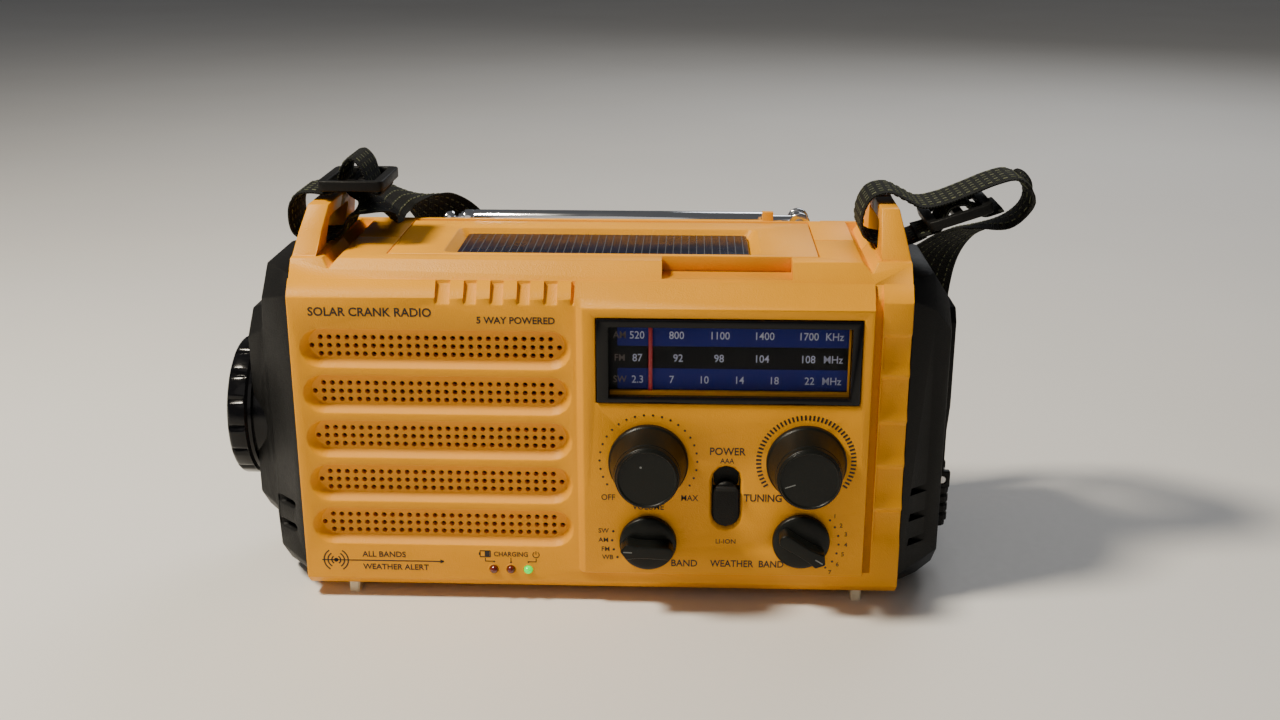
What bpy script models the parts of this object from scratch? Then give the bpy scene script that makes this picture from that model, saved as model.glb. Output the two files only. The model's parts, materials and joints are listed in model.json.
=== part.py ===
"""Emergency radio: an assembly of separate named pieces.

The drawing is in millimetres, with X to the right, Y to the back and Z up from the table.
Its X = 0 and Y = 0 are the datum on the front face that the controls are measured from.
place() turns each piece into metres and moves the datum so that the origin of the scene
is at the middle of the object's footprint, on the table.
"""

import math

import bmesh
import bpy
from mathutils import Matrix, Vector

MM = 0.001                      # metres in a millimetre
GAP = 0.3                       # clearance between touching pieces
CENTRE_X = 8.2                  # middle of the footprint, measured from the datum
CENTRE_Y = 42.3

# Case
CASE_LEFT, CASE_RIGHT = -92.0, 91.7
CASE_BACK = 72.0
CASE_UNDER, CASE_TOP = 4.0, 108.0
FACE_LOW, FACE_HIGH = 7.0, 98.0
SPLIT_Y = 36.0                  # plane where front and rear shells meet
SHELF_Y, SHELF_Z = 63.8, 103.2  # step along the rear edge that the antenna lies on

# Raised control panel
PANEL_LEFT, PANEL_RIGHT = -4.7, 80.5
PANEL_LOW, PANEL_HIGH = 11.2, 96.0
PANEL_Y = -2.0
LEDGE_HEIGHTS = (76.5, 62.2, 48.0, 33.8, 21.0)     # ledges of the grip beside the panel
GRIP_TOP, GRIP_DEPTH = 88.5, 1.3

# Speaker grille
SLOT_COUNT, SLOT_PITCH = 5, 14.4
SLOT_LEFT, SLOT_RIGHT = -89.0, -8.2
SLOT_LOWEST = 24.7              # height of the lowest slot's centre
SLOT_HEIGHT, SLOT_DEPTH = 12.0, 3.0
SPEAKER_X, SPEAKER_Z = -48.6, 53.5

# Controls on the panel
DIAL = (-0.5, 77.1, 67.2, 92.9)             # left, right, bottom, top
DIAL_OPENING = (3.0, 74.3, 68.8, 90.5)
VOLUME = (14.85, 48.6)
TUNING = (62.1, 48.9)
BAND = (14.8, 22.1)
WEATHER = (61.35, 23.3)
KNOB_RADIUS, KNOB_FACE_RADIUS, KNOB_DEPTH = 12.0, 9.0, 14.5
SELECTOR_RADIUS, SELECTOR_SKIRT, SELECTOR_DEPTH = 8.7, 2.6, 8.6
SHAFT_END = 6.0                             # depth that every knob's shaft reaches
PLATE_THICK = 1.5                           # mounting plates of the controls
POINTER_X, POINTER_HALF = 15.3, 0.6
SWITCH = (34.1, 42.6, 27.2, 46.9)           # left, right, bottom, top
SLIDER_HEIGHT = 14.8
SLIDER_FRONT = -2.2
SLIDER_RIDGE = (12.4, 13.9, 1.2)            # bottom and top above the slot's end, inset at each side
STEM = (37.1, 39.4, 31.6, 34.0)             # stem behind the slider: left, right, bottom, top
STEM_SLOT = (36.6, 39.9, 31.0, 39.6)        # slot it runs in
LED_PLACES = {"alert_led": -33.2, "charging_led": -27.9, "power_led": -22.5}
LED_Z = 10.85

# Lid with the solar panel
LID = (-64.2, 65.0, 14.5)                   # left, right, front edge
LID_AXIS_Y, LID_AXIS_Z, LID_ROUND = 59.0, 105.5, 2.5
CELL = (-45.4, 45.2, 17.7, 49.0)
FINGER_RECESS = (18.4, 56.8)

# End caps and flashlight
LIGHT_Y, LIGHT_Z = 36.0, 51.5
BEZEL_RADIUS, BEZEL_FACE = 22.5, -118.0

# Crank on the right end
CRANK_Y, CRANK_Z = 36.0, 56.0
CRANK_REACH = 26.0                          # crank axis to grip hinge
PADDLE = (9.0, 32.6)                        # half width, height above the crank axis
GRIP_LENGTH, GRIP_RADIUS = 15.0, 3.2
GEAR_TEETH, PINION_TEETH, GEAR_MODULE = 36, 12, 1.0

# Antenna
ANTENNA_Y, ANTENNA_Z, ANTENNA_PIVOT_X = 67.5, 107.0, 62.5
ANTENNA_TIP_X = -52.0
CLIP = (50.2, 53.8, 62.2, 107.0, 111.0)     # nub that holds the tube: left, right, front, bottom, top

# Ears and strap
EAR_FRONT, EAR_REAR = 10.0, 60.0
EAR_SLOT = (21.5, 46.0, 108.5, 117.5)       # front, rear, bottom, top
EAR_TOP = 122.0
STRAP_WIDTH, STRAP_THICK = 20.0, 1.2
STRAP_Y = 33.75

FOOT_PLACES = {"front_foot_left": -78.5, "front_foot_right": 79.7}
BATTERY_DOOR = (-2.0, 62.0, 24.0, 74.0)     # left, right, bottom, top
PORT = (-84.0, -58.0, 26.0, 42.0)
BUTTON_PLACES = {"light_button": 78.0, "sos_button": 62.0}
BUTTON_X, BUTTON_RADIUS = -74.0, 5.0
SCREW_PLACES = [(-80.0, 14.0), (80.0, 14.0), (-80.0, 93.0), (80.0, 93.0)]

COLOURS = {
    "yellow": ((0.85, 0.42, 0.06), 0.42, 0.0),
    "black": ((0.022, 0.022, 0.022), 0.45, 0.0),
    "knob": ((0.018, 0.018, 0.018), 0.38, 0.0),
    "gloss": ((0.01, 0.01, 0.012), 0.15, 0.0),
    "clear": ((0.9, 0.92, 0.94), 0.05, 0.0),
    "dial": ((0.02, 0.025, 0.06), 0.5, 0.0),
    "red": ((0.75, 0.03, 0.02), 0.4, 0.0),
    "lens_red": ((0.25, 0.02, 0.02), 0.2, 0.0),
    "lens_green": ((0.1, 0.8, 0.25), 0.2, 0.0),
    "cell": ((0.015, 0.015, 0.04), 0.15, 0.0),
    "cream": ((0.75, 0.68, 0.5), 0.6, 0.0),
    "rubber": ((0.02, 0.02, 0.02), 0.8, 0.0),
    "webbing": ((0.02, 0.022, 0.02), 0.9, 0.0),
    "chrome": ((0.75, 0.75, 0.75), 0.12, 1.0),
    "steel": ((0.55, 0.55, 0.56), 0.35, 1.0),
    "board": ((0.02, 0.2, 0.07), 0.5, 0.0),
    "paper": ((0.05, 0.05, 0.055), 0.8, 0.0),
    "white": ((0.8, 0.8, 0.76), 0.5, 0.0),
    "battery": ((0.05, 0.2, 0.45), 0.35, 0.0),
    "nylon": ((0.8, 0.8, 0.75), 0.5, 0.0),
}


# ---------------------------------------------------------------- drawing tools

def point_on(axis, flat, along):
    """3-D point from two in-plane coordinates and one along an axis (0 X, 1 Y, 2 Z)."""
    a, b = flat
    return ((along, a, b), (a, along, b), (a, b, along))[axis]


def loft(sections):
    """Closed solid through loops that have the same number of points."""
    mesh = bmesh.new()
    rings = [[mesh.verts.new(point) for point in section] for section in sections]
    count = len(rings[0])
    for first, second in zip(rings, rings[1:]):
        for i in range(count):
            j = (i + 1) % count
            mesh.faces.new((first[i], first[j], second[j], second[i]))
    mesh.faces.new(rings[0])
    mesh.faces.new(rings[-1])
    bmesh.ops.recalc_face_normals(mesh, faces=mesh.faces)
    return mesh


def prism(outline, axis, start, end):
    """A flat outline carried straight along an axis."""
    return loft([[point_on(axis, flat, along) for flat in outline] for along in (start, end)])


def box(x0, x1, y0, y1, z0, z1):
    """A rectangular block."""
    return prism([(x0, y0), (x1, y0), (x1, y1), (x0, y1)], 2, z0, z1)


def arc(centre, radius, start, end, steps):
    """Points on an arc, angles in degrees, both ends included."""
    angles = [math.radians(start + (end - start) * i / steps) for i in range(steps + 1)]
    return [(centre[0] + radius * math.cos(t), centre[1] + radius * math.sin(t)) for t in angles]


def circle(centre, radius, steps=24):
    """Points round a full circle."""
    return arc(centre, radius, 0, 360 - 360 / steps, steps - 1)


def rod(centre, radius, axis, start, end, steps=24):
    """A round bar along an axis; centre is in the plane across it."""
    return prism(circle(centre, radius, steps), axis, start, end)


def turned(profile, centre, axis, steps=24, closed=False):
    """Solid of revolution from (radius, height) points; open profiles start and end on the axis."""
    mesh = bmesh.new()
    rows = []
    for radius, height in profile:
        flats = [centre] if radius == 0 else circle(centre, radius, steps)
        rows.append([mesh.verts.new(point_on(axis, flat, height)) for flat in flats])
    pairs = list(zip(rows, rows[1:]))
    if closed:
        pairs.append((rows[-1], rows[0]))
    for first, second in pairs:
        for i in range(steps):
            j = (i + 1) % steps
            corners = [first[i % len(first)], first[j % len(first)],
                       second[j % len(second)], second[i % len(second)]]
            unique = list(dict.fromkeys(corners))
            mesh.faces.new(unique)
    bmesh.ops.recalc_face_normals(mesh, faces=mesh.faces)
    return mesh


def stadium(low_a, high_a, low_b, high_b, steps=8):
    """A slot outline with round ends, longer along whichever side is longer."""
    if high_a - low_a >= high_b - low_b:
        radius, middle = (high_b - low_b) / 2, (high_b + low_b) / 2
        return (arc((high_a - radius, middle), radius, -90, 90, steps)
                + arc((low_a + radius, middle), radius, 90, 270, steps))
    radius, middle = (high_a - low_a) / 2, (high_a + low_a) / 2
    return (arc((middle, high_b - radius), radius, 0, 180, steps)
            + arc((middle, low_b + radius), radius, 180, 360, steps))


def round_box(low_a, high_a, low_b, high_b, radius, steps=4):
    """A rectangle outline with rounded corners."""
    return (arc((high_a - radius, low_b + radius), radius, -90, 0, steps)
            + arc((high_a - radius, high_b - radius), radius, 0, 90, steps)
            + arc((low_a + radius, high_b - radius), radius, 90, 180, steps)
            + arc((low_a + radius, low_b + radius), radius, 180, 270, steps))


def octagon(low_a, high_a, low_b, high_b, chamfer):
    """A rectangle outline with cut corners."""
    c = chamfer
    return [(low_a + c, low_b), (high_a - c, low_b), (high_a, low_b + c), (high_a, high_b - c),
            (high_a - c, high_b), (low_a + c, high_b), (low_a, high_b - c), (low_a, low_b + c)]


def temporary(mesh):
    """An object in the scene that holds a mesh while solids are combined."""
    data = bpy.data.meshes.new("temporary")
    mesh.to_mesh(data)
    mesh.free()
    item = bpy.data.objects.new("temporary", data)
    item.hide_render = True
    item.display_type = "WIRE"
    bpy.context.scene.collection.objects.link(item)
    return item


def combine(base, tools, operation):
    """The base solid after one Boolean with each tool solid in turn."""
    target = temporary(base)
    helpers = [temporary(tool) for tool in tools]
    for helper in helpers:
        step = target.modifiers.new("step", "BOOLEAN")
        step.operation = operation
        step.solver = "EXACT"
        step.object = helper
    graph = bpy.context.evaluated_depsgraph_get()
    result = bmesh.new()
    result.from_mesh(target.evaluated_get(graph).data)
    for item in [target] + helpers:
        data = item.data
        bpy.data.objects.remove(item)
        bpy.data.meshes.remove(data)
    bmesh.ops.remove_doubles(result, verts=result.verts, dist=0.002)
    return result


def cut(base, *tools):
    """The base with every tool removed from it."""
    return combine(base, tools, "DIFFERENCE")


def unite(base, *tools):
    """The base and every tool as one solid."""
    return combine(base, tools, "UNION")


def together(*meshes):
    """Several solids that do not touch, in one mesh, used as one cutter."""
    result = bmesh.new()
    for mesh in meshes:
        data = bpy.data.meshes.new("temporary")
        mesh.to_mesh(data)
        mesh.free()
        result.from_mesh(data)
        bpy.data.meshes.remove(data)
    return result


def smooth_route(stations, steps):
    """Catmull-Rom curve through (point, across) stations, with the across direction carried along."""
    result = []
    last = len(stations) - 1
    for i in range(last):
        around = [stations[max(0, min(last, i + k))] for k in (-1, 0, 1, 2)]
        for s in range(steps):
            t = s / steps
            weights = (-t / 2 + t * t - t ** 3 / 2, 1 - 2.5 * t * t + 1.5 * t ** 3,
                       t / 2 + 2 * t * t - 1.5 * t ** 3, (t ** 3 - t * t) / 2)
            place = sum((Vector(a[0]) * w for a, w in zip(around, weights)), Vector())
            across = sum((Vector(a[1]) * w for a, w in zip(around, weights)), Vector())
            result.append((place, across))
    result.append((Vector(stations[-1][0]), Vector(stations[-1][1])))
    return result


def ribbon(stations, width, thick, steps):
    """A flat band with a rectangular section along a route."""
    route = smooth_route(stations, steps)
    sections = []
    for i, (place, across) in enumerate(route):
        ahead = route[min(i + 1, len(route) - 1)][0] - route[max(i - 1, 0)][0]
        ahead.normalize()
        side = (across - ahead * across.dot(ahead)).normalized() * width / 2
        up = ahead.cross(side).normalized() * thick / 2
        sections.append([place + side + up, place - side + up, place - side - up, place + side - up])
    return loft(sections)


def material(name):
    """The material of one piece, made from the colour table."""
    colour, roughness, metallic = COLOURS[name]
    made = bpy.data.materials.new(name)
    made.use_nodes = True
    shader = made.node_tree.nodes["Principled BSDF"]
    shader.inputs["Base Color"].default_value = (*colour, 1.0)
    shader.inputs["Roughness"].default_value = roughness
    shader.inputs["Metallic"].default_value = metallic
    made.diffuse_color = (*colour, 1.0)
    return made


def place(name, mesh, colour, origin=(0.0, 0.0, 0.0)):
    """Names a solid, gives it its material and moves it from the drawing to the scene."""
    pivot = Vector(origin)
    bmesh.ops.transform(mesh, matrix=Matrix.Scale(MM, 4) @ Matrix.Translation(-pivot), verts=mesh.verts)
    bmesh.ops.dissolve_degenerate(mesh, dist=1e-7, edges=mesh.edges)
    bmesh.ops.triangulate(mesh, faces=[face for face in mesh.faces if len(face.verts) > 4])
    data = bpy.data.meshes.new(name)
    mesh.to_mesh(data)
    mesh.free()
    data.shade_smooth()
    data.set_sharp_from_angle(angle=math.radians(35))
    data.materials.append(material(colour))
    item = bpy.data.objects.new(name, data)
    item.location = (pivot - Vector((CENTRE_X, CENTRE_Y, 0.0))) * MM
    bpy.context.scene.collection.objects.link(item)
    return item


# ---------------------------------------------------------------- case

def ear(left):
    """Strap lug at one end: an arch seen from the side that leans in towards its top."""
    front, rear = EAR_FRONT, EAR_REAR
    arch = [(front, CASE_TOP - 4), (front, CASE_TOP), (front + 3, 115), (front + 8, EAR_TOP),
            (rear - 8, EAR_TOP), (rear - 3, 115), (rear, CASE_TOP), (rear, CASE_TOP - 4)]
    slab = prism(arch, 0, -100, 100)
    y0, y1, z0, z1 = EAR_SLOT
    hole = prism(round_box(y0, y1, z0, z1, 1.5, 2), 0, -101, 101)
    if left:
        across = [(CASE_LEFT, CASE_TOP - 4), (-84.7, CASE_TOP - 4), (-84.7, CASE_TOP),
                  (-81.6, EAR_TOP + 1), (-88.0, EAR_TOP + 1), (CASE_LEFT, CASE_TOP)]
    else:
        across = [(82.9, CASE_TOP - 4), (CASE_RIGHT, CASE_TOP - 4), (CASE_RIGHT, CASE_TOP),
                  (88.3, EAR_TOP + 1), (83.2, EAR_TOP + 1), (82.9, CASE_TOP)]
    lean = prism(across, 1, 0, 80)
    return cut(combine(slab, [lean], "INTERSECT"), hole)


def case_solid():
    """Both shells as one hollow solid, before they are split."""
    outline = [(3, CASE_UNDER), (0, FACE_LOW), (0, FACE_HIGH), (3.6, 102.8), (4.2, 102.3), (8.5, CASE_TOP),
               (SHELF_Y, CASE_TOP), (SHELF_Y, SHELF_Z), (68, SHELF_Z), (CASE_BACK, 98.5),
               (CASE_BACK, FACE_LOW), (69, CASE_UNDER)]
    body = prism(outline, 0, CASE_LEFT, CASE_RIGHT)
    body = unite(body, ear(True), ear(False), raised_panel())
    notches = together(prism([(-83.2, 109), (-77.0, 109), (-80.5, 105)], 1, 5, 62),
                       prism([(76.5, 109), (82.5, 109), (80.0, 105)], 1, 5, 62))
    left_room = box(CASE_LEFT + 3, PANEL_LEFT - 2, 5, 69, 6.5, 98.5)
    right_room = box(PANEL_LEFT - 3, CASE_RIGHT - 3, 2.5, 69, 6.5, 98.5)
    return cut(body, notches, left_room, right_room, lid_opening())


def raised_panel():
    """The control panel that stands proud of the face, with a bevel at its left and along its top."""
    def section(x, proud):
        y = 0.4 + proud * (PANEL_Y - 0.4)
        return [(x, 3.0, PANEL_LOW - 2), (x, y, PANEL_LOW), (x, y, PANEL_HIGH),
                (x, 4.2, 102.6), (x, 6.0, 103.0), (x, 6.0, PANEL_LOW - 2)]
    return loft([section(PANEL_LEFT - 2.2, 0.0), section(PANEL_LEFT, 1.0), section(PANEL_RIGHT, 1.0)])


def lid_opening():
    """The pocket in the top that the lid closes."""
    left, right, front = LID
    low = LID_AXIS_Z - 4.5
    rear = LID_AXIS_Y + LID_ROUND + GAP
    outline = [(front - GAP, CASE_TOP + 1), (front - GAP, low), (rear, low), (rear, CASE_TOP + 1)]
    return prism(outline, 0, left - GAP, right + GAP)


def speaker_slots():
    """Long recesses with round ends whose lower side slopes in."""
    slots = []
    for i in range(SLOT_COUNT):
        z = SLOT_LOWEST + i * SLOT_PITCH
        half = SLOT_HEIGHT / 2
        mouth = stadium(SLOT_LEFT, SLOT_RIGHT, z - half, z + half)
        floor = stadium(SLOT_LEFT + 2.0, SLOT_RIGHT - 2.0, z - half + 1.9, z + half - 0.4)
        slots.append(loft([[point_on(1, flat, y) for flat in outline]
                           for outline, y in ((mouth, -1.0), (mouth, 0.0), (floor, SLOT_DEPTH))]))
    return together(*slots)


def lip_gaps():
    """Gaps that leave five teeth at the right end of the lip over the grille."""
    gaps = [(-48.0, -43.6), (-39.6, -35.8), (-31.8, -27.9), (-23.9, -20.0), (-16.0, -12.0), (-8.0, -6.9)]
    wedge = [(-1, 95.0), (4.4, 101.6), (4.4, 104.5), (-1, 104.5)]
    return together(*[prism(wedge, 0, left, right) for left, right in gaps])


def finger_recess():
    """Scoop in the upper chamfer that lets a finger lift the lid."""
    left, right = FINGER_RECESS
    front = LID[2] - GAP
    outline = [(5.0, 102.9), (front + 0.5, 103.4), (front + 0.5, 109), (5.0, 109)]
    return loft([[(x, y, z) for y, z in outline] for x in (left, right)])


def side_grip():
    """The groove beside the panel and the ledges of the grip to its right."""
    groove = [(0.4, 11.7), (-1, 11.7), (-1, 104.6), (5.6, 104.6), (1.7, 98.6)]
    cutters = [prism(groove, 0, PANEL_RIGHT + 0.1, PANEL_RIGHT + 2.5)]
    top = GRIP_TOP
    for z in LEDGE_HEIGHTS:
        scoop = [(-1, z), (0, z), (GRIP_DEPTH, z + 2.6), (GRIP_DEPTH, top - 1.2), (0, top), (-1, top)]
        cutters.append(prism(scoop, 0, PANEL_RIGHT + 3.1, CASE_RIGHT + 0.8))
        top = z - 1.0
    return cutters


def front_shell(body):
    """Front half of the case with the grille, the lip, the windows and the holes for the controls."""
    shell = cut(body, box(-130, 130, SPLIT_Y - GAP / 2, 100, -5, 140))
    left, right, low, high = DIAL
    openings = [box(left - GAP, right + GAP, -4, 4, low - GAP, high + GAP)]
    for centre, radius in ((VOLUME, 3.4), (TUNING, 3.4), (BAND, 2.9), (WEATHER, 2.9)):
        openings.append(rod(centre, radius, 1, -4, 4, 16))
    left, right, low, high = SWITCH
    well = stadium(left, right, low, high, 6)
    mouth = stadium(left - 0.8, right + 0.8, low - 1.2, high + 0.8, 6)
    openings.append(loft([[point_on(1, flat, y) for flat in outline] for outline, y in
                          ((mouth, -4.0), (mouth, PANEL_Y), (well, -0.8), (well, 1.0))]))
    x0, x1, z0, z1 = STEM_SLOT
    stem_slot = box(x0, x1, 0.5, 4, z0, z1)
    for x in LED_PLACES.values():
        openings.append(rod((x, LED_Z), 1.7, 1, -1, 6, 12))
    shell = cut(shell, speaker_slots(), lip_gaps(), together(*openings), stem_slot, finger_recess())
    return cut(shell, *side_grip())


def rear_shell(body):
    """Rear half of the case with the battery opening, the port and the buttons' holes."""
    shell = cut(body, box(-130, 130, -30, SPLIT_Y + GAP / 2, -5, 140))
    left, right, low, high = BATTERY_DOOR
    tools = [prism(round_box(left - GAP, right + GAP, low - GAP, high + GAP, 2, 2), 1, 70.2, 74),
             box(left + 3, right - 3, 68, 71, low + 3, high - 3)]
    left, right, low, high = PORT
    tools += [box(left - GAP, right + GAP, 70.2, 74, low - GAP, high + GAP),
              box(left + 8, right - 7, 68, 71, low + 5, high - 5)]
    for z in BUTTON_PLACES.values():
        tools.append(rod((BUTTON_X, z), BUTTON_RADIUS + GAP, 1, 68, 74, 20))
    tools += [rod(flat, 3.4, 1, 71, 74, 16) for flat in SCREW_PLACES]
    tools += [rod(flat, 1.6, 1, 66, 71.5, 12) for flat in SCREW_PLACES]
    tools.append(box(56.7, 69.3, 62.8, 73, SHELF_Z - 1.0, 120))
    tools.append(rod((LID_AXIS_Y, LID_AXIS_Z), 1.3, 0, LID[0] - 3.0, LID[1] + 3.0, 12))
    x0, x1, y0, z0, z1 = CLIP
    return unite(cut(shell, *tools), box(x0, x1, y0, SHELF_Y + 0.3, z0, z1))


def end_cap(sections, hollows):
    """A flared cap: a stepped outer shape less a smaller one, open towards the case."""
    def stack(levels):
        return loft([[(x, y, z) for y, z in octagon(*rest)] for x, *rest in levels])
    return cut(stack(sections), stack(hollows))


def left_end_cap():
    """Cap at the flashlight end."""
    x = CASE_LEFT - GAP
    cap = end_cap([(x, 2.5, 69.5, 5, 103, 5), (x - 11, 13, 59, 3.0, 103, 9), (x - 12, 14.5, 57.5, 18, 90.5, 7),
                   (x - 17.7, 18, 54, 21, 87.5, 7)],
                  [(x + 1, 5.2, 66.8, 7.5, 100.5, 4), (x - 8.5, 15.5, 56.5, 6.5, 99.5, 8),
                   (x - 9.5, 16.8, 55.2, 21, 87.5, 6), (x - 15.2, 20, 52, 23.5, 85, 6)])
    bore = rod((LIGHT_Y, LIGHT_Z), 20.5, 0, -112, -100, 36)
    steps = together(*[box(-108, -96, 0, 12.6, z, z + 2.2) for z in (19.5, 27.5)])
    return cut(cap, bore, steps)


def right_end_cap():
    """Cap at the crank end, with three ribs low on its front."""
    x = CASE_RIGHT + GAP
    cap = end_cap([(x, 2.5, 69.5, 5, 103, 5), (x + 8, 9, 63, 3.0, 102.5, 9), (x + 13.5, 13, 59, 6, 94, 8)],
                  [(x - 1, 5.2, 66.8, 7.5, 100.5, 4), (x + 7, 11.5, 60.5, 6.5, 99.0, 8),
                   (x + 11, 14.5, 57.5, 9, 91.5, 7)])
    bore = rod((CRANK_Y, CRANK_Z), 4.3, 0, 100, 108, 20)
    ribs = together(*[box(95, 108, 0, 9.5, z - 1.2, z + 1.2) for z in (36.6, 28.0, 19.8)])
    return cut(cap, bore, ribs)


# ---------------------------------------------------------------- lid and solar panel

def solar_lid():
    """Lid with a round rear edge on the hinge axis and a sloping recess for the cell."""
    left, right, front = LID
    rear_round = arc((LID_AXIS_Y, LID_AXIS_Z), LID_ROUND, -90, 90, 8)
    outline = [(front, CASE_TOP), (front, LID_AXIS_Z - LID_ROUND)] + rear_round
    body = prism(outline, 0, left, right)
    x0, x1, y0, y1 = CELL
    mouth = round_box(x0 - 2.5, x1 + 2.5, y0 - 1.0, y1 + 0.8, 3.0)
    floor = round_box(x0, x1, y0, y1, 2.0)
    recess = loft([[(*flat, z) for flat in outline] for outline, z in
                   ((mouth, CASE_TOP + 1), (mouth, CASE_TOP), (floor, CASE_TOP - 3.0))])
    bore = rod((LID_AXIS_Y, LID_AXIS_Z), 1.3, 0, left - 1, right + 1, 12)
    return cut(body, recess, bore)


def solar_panel():
    """The cell that lies on the floor of the lid's recess."""
    x0, x1, y0, y1 = CELL
    top = CASE_TOP - 1.7
    return prism(round_box(x0 + 0.6, x1 - 0.6, y0 + 0.6, y1 - 0.6, 1.5), 2, CASE_TOP - 3 + GAP, top)


def reading_lamp():
    """A strip lamp on the deck under the lid."""
    strip = prism(round_box(-30, 30, 30, 38, 1.5, 3), 2, 101 + GAP, 102.0)
    return unite(strip, *[rod((x, 34), 1.5, 2, 101.6, 102.6, 10) for x in (-20, -10, 0, 10, 20)])


# ---------------------------------------------------------------- dial and controls

def dial_bezel():
    """Black frame round the dial."""
    left, right, low, high = DIAL
    x0, x1, z0, z1 = DIAL_OPENING
    frame = box(left, right, PANEL_Y - 0.4, 4.8, low, high)
    front = box(x0, x1, -4, 1, z0, z1)
    seat = box(left + 1.5, right - 1.5, 0, 6, low + 1.2, high - 1.2)
    return cut(frame, front, seat)


def dial_window():
    """Clear pane behind the bezel's lip."""
    left, right, low, high = DIAL
    return box(left + 1.8, right - 1.8, 0.3, 1.2, low + 1.5, high - 1.5)


def dial_scale():
    """Card with the printed scale."""
    left, right, low, high = DIAL
    return box(left + 1.8, right - 1.8, 3.2, 4.5, low + 1.5, high - 1.5)


def dial_pointer():
    """Thin upright needle between the pane and the card."""
    return box(POINTER_X - POINTER_HALF, POINTER_X + POINTER_HALF, 1.8, 2.6, 69.2, 91.0)


def round_knob(centre):
    """Tapered knob with a flat face and a shaft that enters its control."""
    top = PANEL_Y - KNOB_DEPTH
    r, face = KNOB_RADIUS, KNOB_FACE_RADIUS
    back = PANEL_Y - GAP
    profile = [(0, top), (face - 0.8, top), (face, top + 0.8), (r - 0.5, -4.6), (r, -3.9), (r, back),
               (3.0, back), (3.0, SHAFT_END), (0, SHAFT_END)]
    return turned(profile, centre, 1, 36)


def selector_knob(centre, angle):
    """Thin round skirt with a raised bar; one end of the bar is pointed."""
    back = PANEL_Y - GAP
    top = PANEL_Y - SELECTOR_DEPTH
    skirt = PANEL_Y - SELECTOR_SKIRT
    r = SELECTOR_RADIUS
    profile = [(0, skirt), (r - 0.5, skirt), (r, skirt + 0.5), (r, back), (2.5, back), (2.5, SHAFT_END),
               (0, SHAFT_END)]
    base = turned(profile, centre, 1, 32)
    shape = [(-7.6, -2.6), (-3, -1.9), (3, -2.0), (6.2, -2.6), (8.3, 0), (6.2, 2.6), (3, 2.0), (-3, 1.9),
             (-7.6, 2.6)]
    turn = Matrix.Rotation(math.radians(angle), 2)
    flats = [turn @ Vector(flat) + Vector(centre) for flat in shape]
    return unite(base, prism([tuple(flat) for flat in flats], 1, top, skirt + 0.2))


def control_box(centre, radius, depth):
    """A potentiometer or rotary switch: a can with a square mounting plate."""
    x, z = centre
    start = SHAFT_END + GAP
    can = rod(centre, radius, 1, start + 1.0, start + depth, 20)
    plate = box(x - radius, x + radius, start, start + PLATE_THICK, z - radius, z + radius)
    return unite(plate, can)


def tuning_drum():
    """Cord drum on the tuning shaft, which drives the pointer."""
    return turned([(0, 6.3), (7.5, 6.3), (7.5, 7.3), (6.3, 7.8), (6.3, 9.2), (7.5, 9.7), (7.5, 10.7),
                   (2.5, 10.7), (2.5, 14.0), (0, 14.0)], TUNING, 1, 28)


def power_slider():
    """Slider at the lower end of its slot, with a ridge and a stem into the switch."""
    left, right, low, _ = SWITCH
    outline = stadium(left + GAP, right - GAP, low + GAP, low + SLIDER_HEIGHT, 6)
    cap = prism(outline, 1, SLIDER_FRONT, 0.7)
    foot, head, inset = SLIDER_RIDGE
    ridge = box(left + inset, right - inset, SLIDER_FRONT - 1.2, SLIDER_FRONT + 0.2, low + foot, low + head)
    x0, x1, z0, z1 = STEM
    return unite(cap, ridge, box(x0, x1, 0.5, SHAFT_END, z0, z1))


def led(x):
    """A round lamp with a domed end."""
    dome = arc((0, -0.1), 1.4, 0, 90, 4)
    profile = [(0, -1.5)] + [(r, -0.1 - (h + 0.1)) for r, h in reversed(dome[:-1])] + [(1.4, 7.0), (0, 7.0)]
    return turned(profile, (x, LED_Z), 1, 12)


# ---------------------------------------------------------------- inside

def speaker_frame():
    """Basket and magnet of the loudspeaker, open at the front."""
    outline = [(0, 17.0), (16.5, 17.0), (35.5, 7.3), (35.5, 5.3), (38, 5.3), (38, 7.6), (18.5, 18.2),
               (18.5, 26.0), (0, 26.0)]
    return turned(outline, (SPEAKER_X, SPEAKER_Z), 1, 28)


def speaker_cone():
    """Paper cone with its rubber edge and dust cap."""
    outline = [(0, 11.0), (5, 12.2), (8, 14.0), (31, 6.6), (33, 5.6), (35.0, 6.6), (35.0, 7.1), (33, 6.4),
               (31, 7.4), (8, 15.2), (0, 15.2)]
    return turned(outline, (SPEAKER_X, SPEAKER_Z), 1, 28)


def main_board():
    """Circuit board behind the controls."""
    board = box(-2, 84, 27.0, 28.6, 12, 92)
    chips = [box(10, 26, 25.6, 27.2, 60, 76), box(40, 50, 26.0, 27.2, 30, 40), box(60, 70, 25.4, 27.2, 66, 84)]
    return unite(board, *chips)


def battery_pack():
    """Rechargeable pack behind the battery door."""
    return prism(round_box(4, 58, 30, 68, 3, 3), 1, 50, 66)


def tuning_capacitor():
    """Box behind the tuning drum."""
    return box(TUNING[0] - 8, TUNING[0] + 8, 14.0 + GAP, 24.0, TUNING[1] - 8, TUNING[1] + 8)


# ---------------------------------------------------------------- rear

def battery_door():
    """Door over the battery opening with a finger catch."""
    left, right, low, high = BATTERY_DOOR
    door = prism(round_box(left, right, low, high, 1.8, 2), 1, 70.5, CASE_BACK)
    grooves = [box(left + 8, right - 8, 71.3, 73, z, z + 1.2) for z in (66.0, 68.6, 71.2)]
    return cut(door, together(*grooves))


def port_cover():
    """Rubber flap over the charging port, hinged along its left edge."""
    left, right, low, high = PORT
    flap = box(left, right, 70.5, CASE_BACK, low, high)
    lift = box(right - 3, right + 1, 71.3, 73, low + 5, high - 5)
    return cut(flap, lift)


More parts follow.
